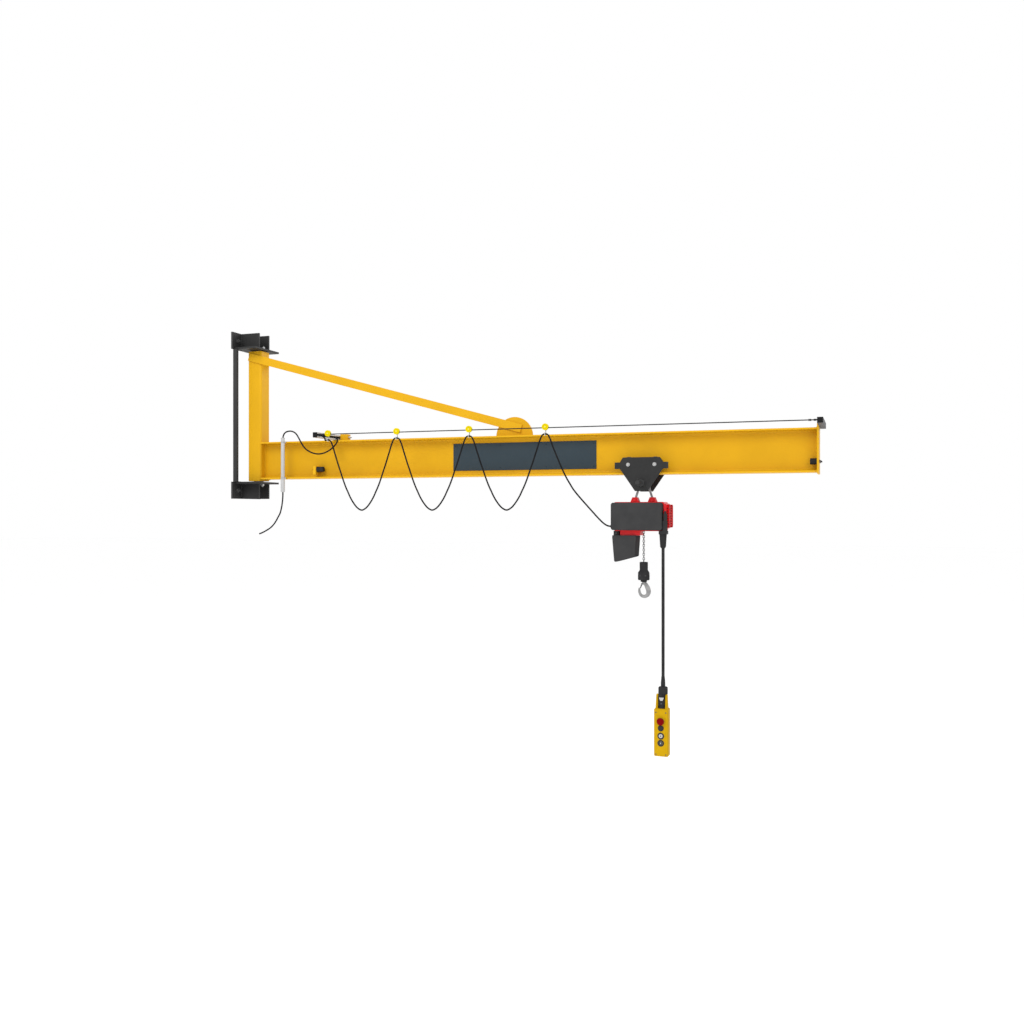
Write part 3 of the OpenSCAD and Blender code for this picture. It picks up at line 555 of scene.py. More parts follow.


# Each loop is two halves that meet at its lowest point
def makeCords(s, c):
    d = s["diameter"]
    # the supply cable ends over the first saddle
    supply = np.vstack([s["supply"], overSaddle(0, -42, 72)])
    path = smoothPath(supply[::-1])
    makeCord("supply_cord", path, d, ["supply_cable"], body="jib")
    for n in range(3):
        x0, x1 = s["carrierX"][n], s["carrierX"][n + 1]
        r0, r1 = s["ratios"][n], s["ratios"][n + 1]
        half = np.array([(x0 + x, s["wireY"], z) for x, z in s["loop"]])
        # a mirrored point past the lowest one keeps the bottom round
        turn = np.array([(x0 + x1 - half[-2][0], s["wireY"], half[-2][2])])
        whole = smoothPath(np.vstack([half, turn, [(x0 + x1 - q[0], s["wireY"], q[2])
                                                   for q in half[-3::-1]]]))
        middle = len(whole) // 2
        for name, path, ends in (("left", whole[:middle + 1], (r0, (r0 + r1) / 2)),
                                 ("right", whole[middle:], ((r0 + r1) / 2, r1))):
            start, end = blendEnds(path[0], path[-1], *ends)
            makeCord(f"loop_{n + 1}_{name}", path, d, [f"festoon_{n + 1}"],
                     blend=("jib", "trolley", start, end))
        # rounded over the next saddle
        over = smoothPath(np.vstack([[(x1 - 24, s["wireY"], 280)], overSaddle(n + 1, -66, 66),
                                     [(x1 + 24, s["wireY"], 280)]]), 3)
        makeCord(f"saddle_cord_{n + 2}", over, d, [], body=f"carrier_{n + 2}")
    path = smoothPath(s["last"])
    start, end = blendEnds(path[0], path[-1], s["ratios"][3], 1.0)
    makeCord("last_cord", path, d, ["festoon_4"], blend=("jib", "trolley", start, end))
    z = np.linspace(c["top"] + 6, c["bottom"] - 2, c["points"])
    path = np.stack([np.full(len(z), c["place"][0]), np.full(len(z), c["place"][1]), z], 1)
    makeCord("control_cord", path, c["diameter"], ["control_cable"],
             body="trolley", sides=28, finish="controlJacket")


makeCords(cordSettings, controlSettings)
print("cords made")


# Finish, slot and edge of each CAD node that stays in view
nodeFinishes = {
    "lower_console": ("darkPaint", "dark_paint", 1.2),
    "upper_console": ("darkPaint", "dark_paint", 1.2),
    "spacer_tubes": ("darkPaint", "dark_paint", 0.6),
    "pivot_pins": ("boltZinc", "zinc", 0.8),
    "column": ("yellowPaint", "yellow_paint", 0.8),
    "jib_beam": ("yellowPaint", "yellow_paint", 1.2),
    "tie_straps": ("yellowPaint", "yellow_paint", 1.0),
    "gusset_plate": ("yellowPaint", "yellow_paint", 1.0),
    "end_plate": ("yellowPaint", "yellow_paint", 1.0),
    "inner_stop": ("yellowPaint", "yellow_paint", 1.0),
    "arm_bracket": ("yellowPaint", "yellow_paint", 1.0),
    "sign_plate": ("signSlate", "sign", 0.4),
    "conduit": ("palePlastic", "grey_plastic", 0.5),
    "trolley_plates": ("darkPaint", "dark_paint", 0.8),
    "suspension_bracket": ("bracketSteel", "zinc", 0.8),
    "hoist_body": ("redPaint", "red_paint", 1.5),
    "chain_container": ("mattPlastic", "black_plastic", 1.5),
    "hook_latch": ("darkPaint", "steel_dark", 0.5),
}


# The node's loose triangles are welded by a modifier, so that its edges can be broken
def dressNode(name, finish, bevel):
    node = nodes[name]
    node.data.materials.clear()
    node.data.materials.append(materials[finish])
    weld = node.modifiers.new("weld", "WELD")
    weld.merge_threshold = 0.01 * mm
    breakEdges(node, bevel)


for name, (finish, slot, bevel) in nodeFinishes.items():
    dressNode(name, finish, bevel)
print("CAD nodes dressed:", len(nodeFinishes))


anchorSettings = {"across": 24, "head": 10, "washer": 30, "thick": 3, "gap": 210, "face": 12,
                  "heights": (0, 968), "thread": 16, "pitch": 2.0, "stub": 9}
keeperSettings = {"places": ((132, 43, -1), (139, 925, 1)), "across": 19, "head": 10, "washer": 22,
                  "thick": 2.5, "thread": 12, "pitch": 1.75, "stub": 7}
weldSettings = {"console": 3.2, "beam": 4.0, "wall": 12.5, "cheeks": (-61, 61, -49, 49),
                "consoles": ((-43, 43, 43), (925, 1011, 925)), "plates": (43, 55, 913, 925),
                "column": 154.5, "end": 3615.5, "beamZ": (72, 312), "webZ": (84, 300)}


# Bolt with its head, washer and the threaded end that stands past its head
def boltSet(s, place, direction, spin):
    place, way = np.array(place, float), np.array(direction, float)
    return [placed(boltHead(s["across"], s["head"], s["washer"], s["thick"]), place, way, spin),
            placed(threadedEnd(s["thread"], s["stub"], s["pitch"]),
                   place + way * (s["thick"] + s["head"]), way)]


# Two bolts through each console's slotted plate, and one in each bearing plate
def makeWallBolts(anchor, keeper):
    parts = []
    for z in anchor["heights"]:
        for y in (-anchor["gap"] / 2, anchor["gap"] / 2):
            parts += boltSet(anchor, (anchor["face"], y, z), (1, 0, 0), 11 + y)
    makePiece("anchor_bolts", parts, "wall_frame", "darkPaint")
    parts = []
    for x, z, way in keeper["places"]:
        parts += boltSet(keeper, (x, 0, z), (0, 0, way), 20)
    makePiece("keeper_bolts", parts, "wall_frame", "boltZinc")


# Beads where cheeks meet the wall plates and bearing plates, and along the plates' edges
def makeConsoleWelds(s):
    parts = []
    r, x = s["console"], s["wall"]
    for z0, z1, plate in s["consoles"]:  # cheeks below or above their plate
        for y in s["cheeks"]:
            parts.append(weldBead([(x, y, z0 + 2), (x, y, z1 - 2)], r))
            parts.append(weldBead([(14, y, plate), (143, y, plate)], r))
    for z in s["plates"]:
        for y0, y1 in ((-130, -64), (64, 130)):
            parts.append(weldBead([(x, y0, z), (x, y1, z)], r))
    makePiece("console_welds", parts, "wall_frame", "darkPaint", smooth=80)


# Beads round both ends of the beam, on its flanges and its web, and along the gusset
def makeJibWelds(s):
    r, (low, high), (webLow, webHigh) = s["beam"], s["beamZ"], s["webZ"]

    def upright(x, y, z0, z1, size):
        return weldBead([(x, y, z0), (x, y, z1)], size)

    def across(x, reach, z):
        return weldBead([(x, -reach, z), (x, reach, z)], r)

    x, end = s["column"], s["end"]
    parts = [upright(x, y, low, high, r * 0.5) for y in (-50, 50)]
    parts += [across(x, 52, z) for z in (low, high)]
    parts += [upright(x, y, webLow, webHigh, r) for y in (-3.5, 3.5)]
    parts += [weldBead([(1773, y, high), (1997, y, high)], r) for y in (-7.5, 7.5)]
    parts += [upright(end, y, low + 2, high - 2, r * 0.1) for y in (-58, 58)]
    parts += [across(end, 58, high)]
    parts += [upright(end, y, webLow, webHigh, r) for y in (-3.5, 3.5)]
    makePiece("jib_welds", parts, "jib", "yellowPaint", smooth=80)


makeWallBolts(anchorSettings, keeperSettings)
makeConsoleWelds(weldSettings)
makeJibWelds(weldSettings)
print("wall frame and jib detailed")


bufferSettings = {"d": 35, "z": 131, "y": 30, "stop": 560, "stopThick": 20, "length": 46,
                  "end": 3616, "endThick": 10, "endLength": 37,
                  "bolt": {"across": 13, "head": 6.5, "washer": 16, "thick": 1.6, "thread": 8,
                           "stub": 6, "pitch": 1.25}}
railSettings = {"wall": 3, "slot": 14, "lip": 6, "cap": 3, "innerX": 686, "outerX": 3656,
                "innerZ": 313, "outerZ": 315, "width": 30, "innerHeight": 32, "outerHeight": 30,
                "out": -300, "innerIn": 40, "outerIn": 110}
wireSettings = {"d": 6, "y": -280, "z": 332, "from": 689, "to": 3653, "lay": 46, "strands": 6,
                "ferrule": 11}
armBoltSettings = {"place": (768, 5, 332), "across": 13, "head": 6.5, "washer": 17, "thick": 2,
                   "thread": 8, "stub": 12, "pitch": 1.75}
signSettings = {"x0": 1491, "x1": 2389, "z0": 109.8, "z1": 274.2, "face": -6.1,
                "screw": 8, "screwIn": 14, "screws": 4, "fold": 2.4, "lift": 0.8}
conduitSettings = {"x": 339, "y": -84, "bottom": -13, "top": 334, "d": 24,
                   "coupling": 78, "clips": (76.9, 307.1)}


# Slightly waisted rubber with a dimple in its face, on both sides of both stops, and its bolt
def makeBuffers(s):
    parts = []
    for y in (-s["y"], s["y"]):
        for x, n, way in ((s["stop"], s["length"], 1), (s["end"], s["endLength"], -1)):
            r = s["d"] / 2
            profile = [(r - 0.8, 0), (r, 0.8), (r, 5), (r - 0.5, 8), (r - 0.7, n * 0.5),
                       (r - 0.5, n * 0.8), (r - 0.2, n - 3), (r - 1.2, n - 1), (r - 3, n),
                       (5.5, n), (4.5, n - 1), (4, n - 3.5)]
            parts.append(placed(turned(profile, 44), (x, y, s["z"]), (way, 0, 0)))
    makePiece("buffer_rubbers", parts, "jib", "blackRubber", ["rubber_buffers"])
    bolts = []
    for y in (-s["y"], s["y"]):
        for x, way in ((s["end"] + s["endThick"], 1), (s["stop"] - s["stopThick"], -1)):
            bolts += boltSet(s["bolt"], (x, y, s["z"]), (way, 0, 0), y)
    makePiece("buffer_bolts", bolts, "jib", "darkSteel")


# Channel with inturned lips, as one outline: out along the outside, back along the inside
def railOutline(width, height, s):
    t, half = s["wall"] * 0.8, s["slot"] / 2
    w, h, m, lip = width, height, height / 2, s["lip"]
    return [(0, 0), (w, 0), (w, m - half), (w - lip, m - half), (w - lip, m - half - t * 0.7),
            (w - t, m - half - t * 0.7), (w - t, t), (t, t), (t, h - t), (w - t, h - t),
            (w - t, m + half + t * 0.7), (w - lip, m + half + t * 0.7), (w - lip, m + half),
            (w, m + half), (w, h), (0, h)]


# The outline lies in x and z and is carried along y, to a plug in each end
def makeRails(s):
    # the outer rail takes the darker copy of the zinc, as painted shade
    for side, flip, finish in (("inner", 1, "zincPlate"), ("outer", -1, "shadedRailZinc")):
        x, z, height = s[side + "X"], s[side + "Z"], s[side + "Height"]
        outline = np.array(railOutline(s["width"], height, s))
        y0, y1 = s["out"] + s["cap"], s[side + "In"] - s["cap"]
        rings = [np.column_stack([x + flip * outline[:, 0], np.full(len(outline), y),
                                  z + outline[:, 1]]) for y in (y0, y1)]
        makePiece(side + "_rail", [lofted(np.array(rings))], "jib", finish,
                  [side + "_arm"], bevel=0.4)
        plug = stacked(roundedBox(s["width"] - 0.4, height - 0.4, 2.5, 4),
                       [(0, 0), (s["cap"] - 1, 0), (s["cap"], 1)])
        middleX, middleZ = x + flip * s["width"] / 2, z + height / 2
        makePiece(side + "_rail_caps", [placed(plug, (middleX, y, middleZ), (0, way, 0))
                                        for y, way in ((y0, -1), (y1, 1))],
                  "jib", "cableJacket")


# Rope: its radius swells at each strand, and the strands turn once in each length of lay
def makeWire(s):
    x = np.arange(s["from"] + 4, s["to"] - 3.9, 3.0)
    a = np.linspace(0, 2 * np.pi, 30, endpoint=False)
    turn = 2 * np.pi * x / s["lay"]
    swell = np.abs(np.cos(s["strands"] / 2 * (a[None] - turn[:, None])))
    r = s["d"] / 2 * (0.89 + 0.11 * swell)
    rings = np.stack([x[:, None] + 0 * r, s["y"] + r * np.cos(a), s["z"] + r * np.sin(a)], -1)
    makePiece("wire_rope", [lofted(rings)], "jib", "wireSteel", ["tension_wire"],
              smooth=80)
    r = s["ferrule"] / 2
    sleeve = turned([(3.2, 0), (r - 0.6, 0), (r, 0.8), (r, 5), (r - 0.9, 6), (r - 0.9, 8), (r, 9),
                     (r, 13.2), (r - 0.6, 14), (3.2, 14)], 28)
    # two crimped sleeves at each end
    makePiece("wire_ferrules", [placed(sleeve, (x + way * start, s["y"], s["z"]), (way, 0, 0))
                                for x, way in ((s["from"] + 30, 1), (s["to"] - 30, -1))
                                for start in (0, 26)], "jib", "wireSteel")
    # nut inside each rail's back, drawn up on the wire's end
    makePiece("wire_nuts", [placed(boltHead(13, 6.5), (x, s["y"], s["z"]), (way, 0, 0), 8)
                            for x, way in ((s["from"] + 11, -1), (s["to"] - 11, 1))],
              "jib", "wireSteel")


# Folded edge of the plate, as its outline and a copy further in, standing off it, and its screws
def makeSign(s):
    x0, x1, z0, z1, y = s["x0"] + 1, s["x1"] - 1, s["z0"] + 1, s["z1"] - 1, s["face"]
    outer = np.array([(x0, z0), (x1, z0), (x1, z1), (x0, z1)], float)
    inner = outer + np.array([[1, 1], [-1, 1], [-1, -1], [1, -1]]) * s["fold"]
    lift = s["lift"]
    rings = [np.column_stack([ring[:, 0], np.full(4, height), ring[:, 1]]) for ring, height in
             ((outer, y + 0.1), (outer, y - lift), (inner, y - lift), (inner, y + 0.1))]
    fold = np.array(rings).reshape(-1, 3), gridFaces(4, 4, closed=True)
    r = s["screw"] / 2
    screw = turned([(r, 0), (r, 0.3), (r * 0.9, 0.8), (r * 0.55, 1.0), (r * 0.45, 0.3),
                    (0.3, 0.3)], 24)
    gap = s["screwIn"]
    parts = [placed(screw, (x, y, z), (0, -1, 0))
             for x in np.linspace(x0 + gap, x1 - gap, s["screws"]) for z in (z0 + gap, z1 - gap)]
    makePiece("sign_edge", [fold] + parts, "jib", "signSlate", bevel=0.2)


# Lower coupling, a rounded ring on each mouth, and the clips
def makeConduitFittings(s):
    r = s["d"] / 2
    coupling = [(r - 1, 0), (r + 0.6, 0.3), (r + 1.4, 1.6), (r + 1.4, s["coupling"] - 2),
                (r + 0.4, s["coupling"] - 0.4), (r - 1, s["coupling"])]
    shapes = [placed(turned(coupling, 40, closed=True), (s["x"], s["y"], s["bottom"]), (0, 0, 1))]
    mouth = [(r, 0), (r + 0.9, 0.8), (r + 0.9, 3.2), (r - 0.6, 4.6), (r - 3.2, 4.8), (r - 3.2, 0)]
    for z, way in ((s["bottom"] + 4, -1), (s["top"] - 4, 1)):
        shapes.append(placed(turned(mouth, 40, closed=True), (s["x"], s["y"], z), (0, 0, way)))
    # band of each clip, and its screw on the edge of the flange
    a = np.radians(np.linspace(0, 360, 40, endpoint=False))
    for z in s["clips"]:
        for lift in (-3.2, 3.2):
            ring = np.stack([s["x"] + (r + 1) * np.cos(a), s["y"] + (r + 1) * np.sin(a),
                             np.full(40, z + lift)], 1)
            shapes.append(tubeLoop(ring, 1.2))
        shapes.append(placed(boltHead(7, 3, 10, 1), (s["x"] - 13, -60, z), (0, -1, 0), 5))
    makePiece("conduit_fittings", shapes, "jib", "palePlastic")


# Closed tube round a flat ring of points: out from the ring's middle, and along its axis
def tubeLoop(path, radius):
    sides = 10
    along = np.roll(path, -1, 0) - np.roll(path, 1, 0)
    along /= np.linalg.norm(along, axis=1)[:, None]
    axis = np.cross(path[0] - path.mean(0), path[len(path) // 4] - path.mean(0))
    axis /= np.linalg.norm(axis)
    out = np.cross(along, axis)
    a = np.linspace(0, 2 * np.pi, sides, endpoint=False)[:, None]
    rings = path[:, None] + radius * (out[:, None] * np.cos(a) + axis * np.sin(a))
    return rings.reshape(-1, 3), gridFaces(len(path), sides, closed=True)


# Bolt through the arm's bracket: its head stands inside the rail, its threaded end points outwards
def makeArmBolt(s):
    makePiece("arm_bolt", boltSet(s, s["place"], (1, 0, 0), 12), "jib", "boltZinc")


makeBuffers(bufferSettings)
makeRails(railSettings)
makeArmBolt(armBoltSettings)
makeWire(wireSettings)
makeSign(signSettings)
makeConduitFittings(conduitSettings)
print("arms, wire and fittings made")


carrierSettings = {"x": cordSettings["carrierX"], "y": -280, "disc": 19, "discZ": 337, "gap": 3.2,
                   "thick": 8, "seatZ": 293.1, "strap": 5, "plate": 3, "drop": 6, "lip": 305,
                   "bodies": ["jib", "carrier_2", "carrier_3", "carrier_4"]}


# Two dished discs run on the wire, one at each side; a strap hangs from their axle and holds the
# seat that the cable lies over
def makeCarriers(s):
    r, g, t = s["disc"], s["gap"], s["thick"]
    # rim, hollow and hub of a disc, from its inner face out
    disc = turned([(2.2, g), (r - 3, g), (r - 1, g + 0.8), (r, g + 2), (r, t - 1), (r - 0.8, t),
                   (r - 4, t), (r - 5.2, t - 1.4), (9, t - 1.8), (7.6, t), (2.2, t)], 48,
                  closed=True)
    eye = turned([(2, 0), (5.4, 0), (5.4, 1), (4.6, 1.8), (2, 1.8)], 28, closed=True)
    rivet = turned([(2.9, 0), (2.9, 0.4), (2, 0.8), (0.3, 0.9)], 20)
    axle = turned([(2, -t), (2, t + 3)], 20)
    seat = turned([(2.4, -7), (3, -6.4), (3, -5), (2.2, -3.4), (2.2, 3.4), (3, 5), (3, 6.4),
                   (2.4, 7)], 24)
    for n, (x, body) in enumerate(zip(s["x"], s["bodies"])):
        centre = (x, s["y"], s["discZ"])
        makePiece(f"carrier_{n + 1}_discs", [placed(disc, centre, (0, way, 0)) for way in (-1, 1)],
                  body, "discPlastic", [f"carrier_{n + 1}"])
        # strap, as one flat band: down behind the discs, under the cable and up to a short lip
        half, out, low = s["strap"] / 2, t + s["plate"] / 2, s["seatZ"] - s["drop"] / 2
        a = np.radians(np.linspace(0, 180, 15))
        bend = np.stack([-out * np.cos(a), low + 5 - 5 * np.sin(a)], 1)
        line = np.vstack([[(-out, s["lip"])], bend, [(out, s["discZ"] - 3)]])
        path = np.column_stack([np.full(len(line), x), s["y"] + line[:, 0], line[:, 1]])
        parts = [bandAlong(smoothPath(path, 2, 1), half, s["plate"] / 2)]
        parts.append(placed(eye, (x, s["y"] + t + 1, s["discZ"]), (0, 1, 0)))
        for way, out in ((1, t + 2.2), (-1, t - 1)):
            parts.append(placed(rivet, (x, s["y"] + way * out, s["discZ"]), (0, way, 0)))
        parts.append(placed(axle, centre, (0, 1, 0)))
        parts.append(placed(seat, (x, s["y"], s["seatZ"] - 3), (0, 1, 0)))
        makePiece(f"carrier_{n + 1}_strap", parts, body, "zincPlate")


makeCarriers(carrierSettings)
print("cable carriers made")


trolleySettings = {"x": 2668, "dx": 75.5, "axleZ": 127.1, "wheel": 45, "inner": 29, "outer": 57,
                   "hub": 20, "reach": 70, "plateIn": 72, "plateOut": 78, "barZ": 22.5, "bar": 13,
                   "barHalf": 180, "barPitch": 3.0, "pinY": 174, "bracket": 6,
                   "lugX": (-50, 50), "lugY": 20, "lugZ": -73,
                   "axle": {"across": 15, "head": 7, "washer": 22, "thick": 2, "thread": 10,
                            "stub": 5, "pitch": 1.5}}


# Tread with a slight crown, recessed web, and hub with its bearing
def makeWheels(s):
    r, y0, y1 = s["wheel"], s["inner"], s["outer"]
    hub, reach = s["hub"], s["reach"]
    wheel = turned([(8.1, y0), (14, y0), (15, y0 + 1), (20, y0 + 3.5), (32, y0 + 3.5),
                    (36, y0 + 0.6), (r - 2, y0), (r, y0 + 2), (r, y1 - 2), (r - 2, y1),
                    (36, y1 - 0.4), (32, y1 - 3.5), (hub + 3, y1 - 3.5), (hub, y1 - 1),
                    (hub, reach - 1), (hub - 1, reach), (15.5, reach), (15, reach - 1.2),
                    (11, reach - 1.2), (10.6, reach), (8.1, reach)], 56, closed=True)
    for side, dx in (("front", s["dx"]), ("rear", -s["dx"])):
        node = side + "_wheels"
        parts = [placed(wheel, (s["x"] + dx, 0, s["axleZ"]), (0, way, 0)) for way in (-1, 1)]
        makePiece(side + "_wheel_pair", parts, node, "darkSteel", [node])
    parts = []
    for dx in (-s["dx"], s["dx"]):
        for way in (-1, 1):
            parts += boltSet(s["axle"], (s["x"] + dx, way * s["plateOut"], s["axleZ"]),
                             (0, way, 0), 17 + dx)
    makePiece("axle_bolts", parts, "trolley", "boltZinc")


# Cross bar, plain in the middle and threaded outside the plates, where its radius goes from crest
# to root in each pitch; with its washers, nuts, distance rings and split pins
def makeCrossBar(s):
    d, half = s["bar"], s["barHalf"]
    plain, pitch = s["plateOut"] + 6, s["barPitch"]
    turns = int((half - 3 - plain) / pitch)
    h = plain + np.repeat(np.arange(turns), 2) * pitch + np.tile([0.0, pitch / 2], turns)
    thread = np.stack([np.tile([d, d - 1.5], turns), h], 1)
    side = np.vstack([thread, [(d - 0.6, half - 2.6), (d - 2.4, half)]])
    profile = np.vstack([side[::-1] * [1, -1], side])
    x, base, z = s["x"], s["plateOut"], s["barZ"]
    parts = [placed(turned(profile, 36), (x, 0, z), (0, 1, 0))]
    washer = turned([(13, 0), (21.4, 0), (22, 0.6), (22, 3.4), (21.4, 4), (13, 4)], 44)
    for way in (-1, 1):
        parts.append(placed(washer, (x, way * base, z), (0, way, 0)))
        parts.append(placed(boltHead(36, 17), (x, way * (base + 4), z), (0, way, 0), 6))
        # distance rings between the bracket and the plates
        edges = np.linspace(s["bracket"] + 1, s["plateIn"], 6)
        for a, b in zip(edges[:-1], edges[1:]):
            ring = turned([(13, a), (16.4, a + 0.1), (17, a + 0.8), (17, b - 0.8), (16.4, b - 0.1),
                           (13, b)], 40)
            parts.append(placed(ring, (x, 0, z), (0, way, 0)))
        # split pin through the bar's end: two legs as one, and a round eye
        y = way * s["pinY"]
        leg = [(x, y, z + 20), (x, y, z + 15), (x, y, z - 15), (x + 3, y, z - 20),
               (x + 9, y, z - 22)]
        parts.append(tube(smoothPath(leg, 2), 1.7, 10))
        a = np.radians(np.linspace(0, 360, 24, endpoint=False))
        eye = np.stack([x + 3.4 * np.cos(a), np.full(24, float(y)), z + 20 + 3.4 * np.sin(a)], 1)
        parts.append(tubeLoop(eye, 1.5))
    makePiece("cross_bar_set", parts, "trolley", "darkPaint", ["cross_bar"],
              smooth=30)


# Pin with a bolt head at both ends through each lug of the hoist
def makeLugBolts(s):
    parts = []
    head, pin = boltHead(16, 6, 20, 1.6), turned([(6, -s["lugY"]), (6, s["lugY"])], 24)
    for dx in s["lugX"]:
        x, z = s["x"] + dx, s["lugZ"]
        parts += [placed(head, (x, way * s["lugY"], z), (0, way, 0), dx) for way in (-1, 1)]
        parts.append(placed(pin, (x, 0, z), (0, 1, 0)))
    makePiece("lug_bolts", parts, "trolley", "redPaint")


makeWheels(trolleySettings)
makeCrossBar(trolleySettings)
makeLugBolts(trolleySettings)
print("trolley made")


coverSettings = {"x0": 2496, "x1": 2789, "z0": -244, "z1": -88, "inside": 60, "face": 102,
                 "corner": 14, "round": 9, "slotX": 2600, "slot": (11, 5),
                 "gland": (2496, -90, -222.2)}
fanSettings = {"x0": 2809, "z": -164, "size": 130, "thick": 14, "slots": 9, "corner": 12,
               "left": -57, "right": 32, "gap": 6.4, "deep": 6, "bar": 6, "screwY": 50,
               "screwZ": 57}
boxSettings = {"x0": 2495, "z1": -274, "y": 60, "width": 139}
sleeveSettings = {"x": 2789, "y": -60, "top": -266, "bottom": -345, "wide": 21, "narrow": 16.5,
                  "mouth": 10, "bore": 8.8, "rings": 6,
                  # width, depth, two heights, and a place in x and y
                  "steps": [(27, 18, -251, -190, 2803, -80.5), (20, 16, -192, -150, 2805, -79.5),
                            (10, 15, -152, -136, 2805, -79), (46, 52, -266, -246, 2792, -64)]}


# Hood with a plain face: the outline steps in along a quarter circle towards its face
def makeCovers(s):
    w, h = s["x1"] - s["x0"], s["z1"] - s["z0"]
    x, z = (s["x0"] + s["x1"]) / 2, (s["z0"] + s["z1"]) / 2
    a = np.radians(np.linspace(0, 90, 10))
    levels = [(s["inside"], 1.0), (s["inside"] + 1, 0)]
    levels += [(s["face"] - s["round"] + s["round"] * math.sin(t), s["round"] * (1 - math.cos(t)))
               for t in a]
    points, faces = stacked(roundedBox(w, h, s["corner"], 12), levels)
    for name, way, replaces in (("front_cover", -1, ["hoist_covers"]), ("back_cover", 1, [])):
        shell = np.stack([points[:, 0] + x, way * points[:, 2], points[:, 1] + z], 1)
        makePiece(name, [(shell, faces)], "trolley", "mattPlastic", replaces,
                  smooth=50)


# Catch in the upper and the lower edge of each cover, as a frame round a dark tongue, and the gland
# of the feed cable
def makeCoverTrim(s):
    parts, tongues = [], []
    wide, high = s["slot"]
    for way in (-1, 1):
        for z, up in ((s["z0"], -1), (s["z1"], 1)):
            place = (s["slotX"], way * (s["face"] - 13), z)
            outer, inner = roundedBox(wide + 4, high + 4, 2, 4), roundedBox(wide, high, 1, 4)
            rings = [np.column_stack([ring, np.full(len(ring), t)]) for ring, t in
                     ((outer, -0.2), (outer * 0.97, 0.7), (inner * 1.04, 0.7), (inner, -0.2))]
            rim = np.array(rings).reshape(-1, 3), gridFaces(4, len(outer), closed=True)
            tongue = stacked(inner * 0.97, [(-0.6, 0), (0.2, 0), (0.5, 0.3)])
            parts.append(placed(rim, place, (0, 0, up)))
            tongues.append(placed(tongue, place, (0, 0, up)))
    makePiece("cover_catches", parts, "trolley", "blackPlastic")
    makePiece("catch_tongues", tongues, "trolley", "blackRubber")
    gland = turned([(4.6, -3), (7, -3), (7, 0), (6.6, 2), (5.8, 3.6), (4.9, 4.2), (4.6, 4.2)], 30,
                   closed=True)
    makePiece("feed_gland", [placed(gland, s["gland"], (-1, 0, 0))], "trolley", "blackPlastic")


# Square with round corners whose two sides have slots, one in the middle of each pitch. The second
# half of the outline is the first half turned by half a turn
def slottedOutline(size, corner, count, gap, depth):
    half, pitch, points = size / 2, size / count, []
    a = np.radians(np.linspace(0, 90, 8))
    for way in (1, -1):
        for k in range(1, count - 1):
            middle = (k + 0.5) * pitch - half
            points += [(way * half, way * (middle - gap / 2)),
                       (way * (half - depth), way * (middle - gap / 2)),
                       (way * (half - depth), way * (middle + gap / 2)),
                       (way * half, way * (middle + gap / 2))]
        c = half - corner
        points += [(way * (c + corner * math.cos(t)), way * (c + corner * math.sin(t))) for t in a]
        points += [(way * (corner * math.cos(t) - c), way * (c + corner * math.sin(t)))
                   for t in a + np.pi / 2]
    return np.array(points)


# Fan cover: its sides and its end face have slots, and a plain band stands beside those of the face
def makeFan(s):
    size, x0, x1, z = s["size"], s["x0"], s["x0"] + s["thick"], s["z"]
    left, right = s["left"], s["right"]
    pitch = size / s["slots"]
    outline = slottedOutline(size, s["corner"], s["slots"], s["gap"], s["deep"])
    rings = [np.column_stack([np.full(len(outline), x), outline[:, 0], z + outline[:, 1]])
             for x in (x0, x1 - 5)]
    parts = [lofted(np.array(rings))]
    # bars between the slots, with rounded fronts
    bar = pitch - s["bar"]
    a = np.radians(np.linspace(0, 180, 9))
    section = np.stack([-(bar / 2) * np.cos(a), 3.2 + 1.6 * np.sin(a)], 1)
    section = np.vstack([[(-bar / 2, 0)], section, [(bar / 2, 0)]])
    for i in range(1, s["slots"]):
        height = z - size / 2 + i * pitch
        rings = [np.column_stack([x1 - 5 + section[:, 1], np.full(len(section), y),
                                  height + section[:, 0]]) for y in (left - 2, right + 2)]
        parts.append(lofted(np.array(rings)))
    # frame round the slots: left edge, plain band on the right, top and bottom
    for y0, y1, z0, z1 in ((-size / 2, left, -size / 2, size / 2),
                           (right, size / 2, -size / 2, size / 2),
                           (left - 1, right + 1, size / 2 - pitch / 2 + 3, size / 2),
                           (left - 1, right + 1, -size / 2, pitch / 2 - 3 - size / 2)):
        w, h = y1 - y0, z1 - z0
        points, faces = stacked(roundedBox(w, h, min(w, h) * 0.45, 6),
                                [(-5, 0), (-2, 0), (-0.6, 0.6), (0, 2)])
        parts.append((np.stack([x1 + points[:, 2], points[:, 0] + (y0 + y1) / 2,
                                points[:, 1] + z + (z0 + z1) / 2], 1), faces))
    makePiece("fan_grille", parts, "trolley", "fanRed", ["fan_cover"], smooth=40)
    # dark sheets at the bottom of the slots, in the sides and in the end face: painted shade of the
    # slots
    inner, reach = size / 2 - s["deep"], size / 2 - pitch
    slotShadeSheets = [block((x0 + 0.5, way * inner - 0.25, z - reach),
                     (x1 - 5.5, way * inner + 0.25, z + reach)) for way in (-1, 1)]
    slotShadeSheets.append(block((x1 - 5.2, left - 1, z - reach), (x1 - 4.7, right + 1, z + reach)))
    makePiece("fan_slot_painted_shade", slotShadeSheets, "trolley", "redPlastic")
    screw = turned([(3.6, 0), (3.6, 1), (3, 1.6), (1.6, 1.6), (1.3, 0.6)], 24)
    screws = [placed(screw, (x1, y, z + dz), (1, 0, 0)) for y in (-s["screwY"], s["screwY"])
              for dz in (-s["screwZ"], s["screwZ"])]
    makePiece("fan_screws", screws, "trolley", "darkSteel")


